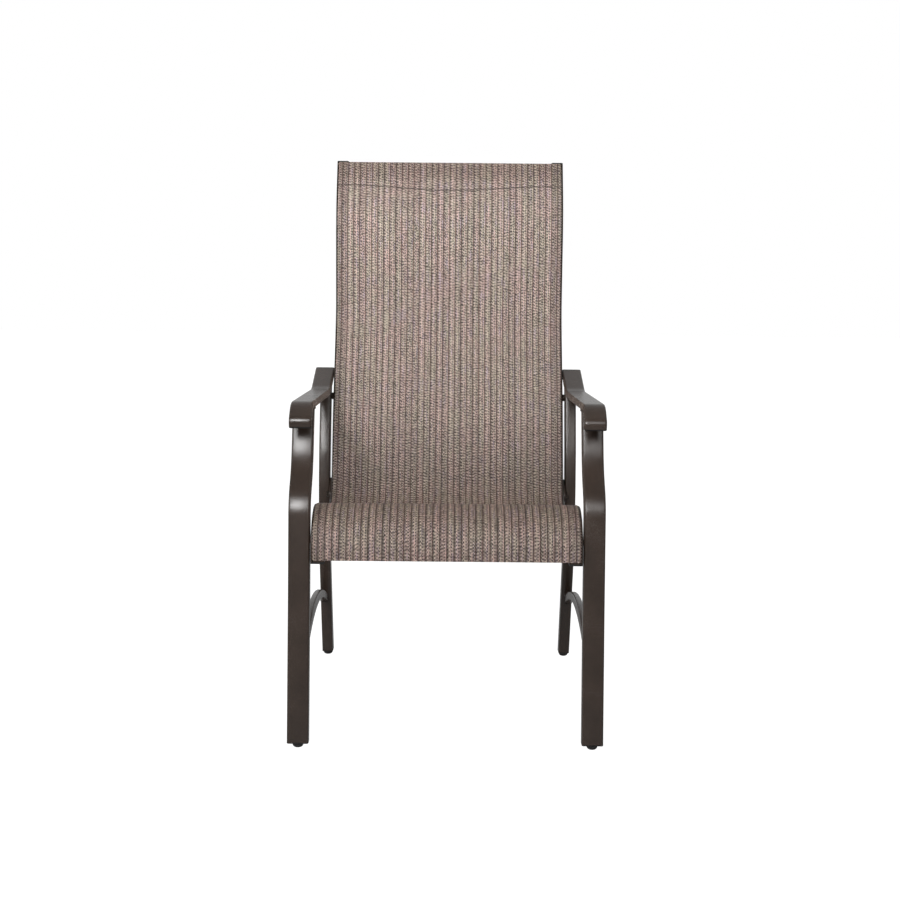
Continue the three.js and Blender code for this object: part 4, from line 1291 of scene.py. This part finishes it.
class PATIO_OT_stage(bpy.types.Operator):
    """Builds the floor, the lamps and the camera"""
    bl_idname = "patio.stage"
    bl_label = "Stage"

    # Place, target, width, height and spread in degrees of each soft lamp
    lamps = {
        "key": ((-0.75, -3.3, 2.15), (0, 0, 0.95), 0.95, 1.2, 60),
        "side": ((0.75, -3.3, 2.15), (0, 0, 0.95), 0.95, 1.2, 60),
        "fill": ((-2.9, -1.6, 1.5), (0, 0, 0.6), 1.2, 1.4, 180),
    }
    # Place of the camera in metres, and its turns in degrees
    camera_place = (-0.0013, -3.11177, 0.95604)
    camera_yaw = -0.1157
    camera_roll = 0.538

    def execute(self, context):
        scene = context.scene
        settings = scene.patio_stage
        lens = bpy.data.cameras.new("picture_camera")
        lens.lens = settings.lens
        camera = link_object("picture_camera", lens)
        place = Matrix.Translation(self.camera_place)
        for angle, axis in ((self.camera_yaw, "Z"), (90 - settings.pitch, "X"), (self.camera_roll, "Z")):
            place = place @ Matrix.Rotation(math.radians(angle), 4, axis)
        camera.matrix_world = place
        scene.camera = camera
        self.add_floor(settings)
        self.add_world(scene, settings)
        for name, shape in self.lamps.items():
            self.add_lamp(f"{name}_lamp", getattr(settings, f"{name}_light"), *shape)
        scene.view_settings.view_transform = "Standard"
        return {"FINISHED"}

    def add_floor(self, settings):
        """Pale floor that shows white and keeps the chair's shadow."""
        half = settings.floor_side / 2
        white_share, glossy_share, grey = 0.7, 0.15, 0.55
        mesh = bpy.data.meshes.new("studio_floor")
        mesh.from_pydata([(-half, -half, 0), (half, -half, 0), (half, half, 0), (-half, half, 0)], [],
                         [(0, 1, 2, 3)])
        floor = link_object("studio_floor", mesh)
        shader = Shader.of_material("studio_floor", "ShaderNodeMixShader")
        pale = shader.node("ShaderNodeBsdfDiffuse", sockets={"Color": (grey, grey, grey)})
        white = shader.node("ShaderNodeEmission",
                            sockets={"Color": (1, 1, 1), "Strength": settings.floor_white})
        seen = self.seen_directly(shader, glossy_share) * white_share
        for index, value in enumerate((seen, pale, white)):
            shader.feed(shader.surface.inputs[index], value)
        mesh.materials.append(shader.owner)

    def seen_directly(self, shader, glossy_share):
        """One for rays from the camera or through an opening, and a share for reflections."""
        rays = [shader.node("ShaderNodeLightPath", output=name)
                for name in ("Is Camera Ray", "Is Glossy Ray", "Is Transmission Ray")]
        return (rays[0] + rays[1] * glossy_share + rays[2]).math("MINIMUM", 1.0)

    def add_world(self, scene, settings):
        """Even light, weaker from above, and white where the background shows."""
        glossy_share, ceiling_edge, room_edge = 0.45, (0.2, 0.8), (-0.5, 0.3)
        shader = Shader(bpy.data.worlds.new("studio"), "ShaderNodeBackground", "ShaderNodeOutputWorld")
        toward, upward = shader.axes(shader.node("ShaderNodeTexCoord", output="Generated"))[1:]
        camera = shader.node("ShaderNodeLightPath", output="Is Camera Ray")
        glossy = shader.node("ShaderNodeLightPath", output="Is Glossy Ray")
        seen = self.seen_directly(shader, glossy_share)
        level = seen + (1 - seen) * settings.world_light
        ceiling = shader.smooth(upward, *ceiling_edge) * (1 - settings.ceiling_light) * (1 - camera)
        room = (1 - shader.smooth(toward, *room_edge)) * glossy * (1 - settings.room_light)
        shader.feed(shader.surface.inputs["Strength"], level * (1 - ceiling) * (1 - room))
        shader.feed(shader.surface.inputs["Color"], (1, 1, 1))
        scene.world = shader.owner

    def add_lamp(self, name, power, place, target, width, height, spread):
        """Soft rectangular lamp that points at the chair."""
        data = bpy.data.lights.new(name, "AREA")
        data.shape = "RECTANGLE"
        data.size = width
        data.size_y = height
        data.energy = power
        data.spread = math.radians(spread)
        look = (Vector(target) - Vector(place)).to_track_quat("-Z", "Y")
        link_object(name, data).matrix_world = Matrix.Translation(place) @ look.to_matrix().to_4x4()


class PATIO_PT_panel(bpy.types.Panel):
    """Lists the chair's operators and sizes"""
    bl_label = "Patio chair"
    bl_idname = "PATIO_PT_panel"
    bl_space_type = "VIEW_3D"
    bl_region_type = "UI"
    bl_category = "Patio chair"

    def draw(self, context):
        layout = self.layout
        for operator in OPERATORS:
            layout.operator(operator.bl_idname)
        for name, group in GROUPS.items():
            box = layout.box()
            box.label(text=group.__doc__)
            for key in group.__annotations__:
                box.prop(getattr(context.scene, name), key)


GROUPS = {
    "patio_sides": SideFrameSizes,
    "patio_sling_frame": SlingFrameSizes,
    "patio_fabric": FabricSettings,
    "patio_finishes": FinishSettings,
    "patio_stage": StageSettings,
}
OPERATORS = (PATIO_OT_stage, PATIO_OT_side_frames, PATIO_OT_sling_frame, PATIO_OT_fabric, PATIO_OT_caps,
             PATIO_OT_feet, PATIO_OT_fasteners)


def register():
    for group in GROUPS.values():
        bpy.utils.register_class(group)
    for cls in (*OPERATORS, PATIO_PT_panel):
        bpy.utils.register_class(cls)
    for name, group in GROUPS.items():
        setattr(bpy.types.Scene, name, PointerProperty(type=group))


def unregister():
    for name in GROUPS:
        delattr(bpy.types.Scene, name)
    for cls in (PATIO_PT_panel, *reversed(OPERATORS), *reversed(GROUPS.values())):
        bpy.utils.unregister_class(cls)


def main():
    """Builds the whole chair and its stage."""
    register()
    bpy.ops.patio.stage()
    bpy.ops.patio.side_frames()
    bpy.ops.patio.sling_frame()
    bpy.ops.patio.fabric()
    bpy.ops.patio.caps()
    bpy.ops.patio.feet()
    bpy.ops.patio.fasteners()


if __name__ == "__main__":
    main()
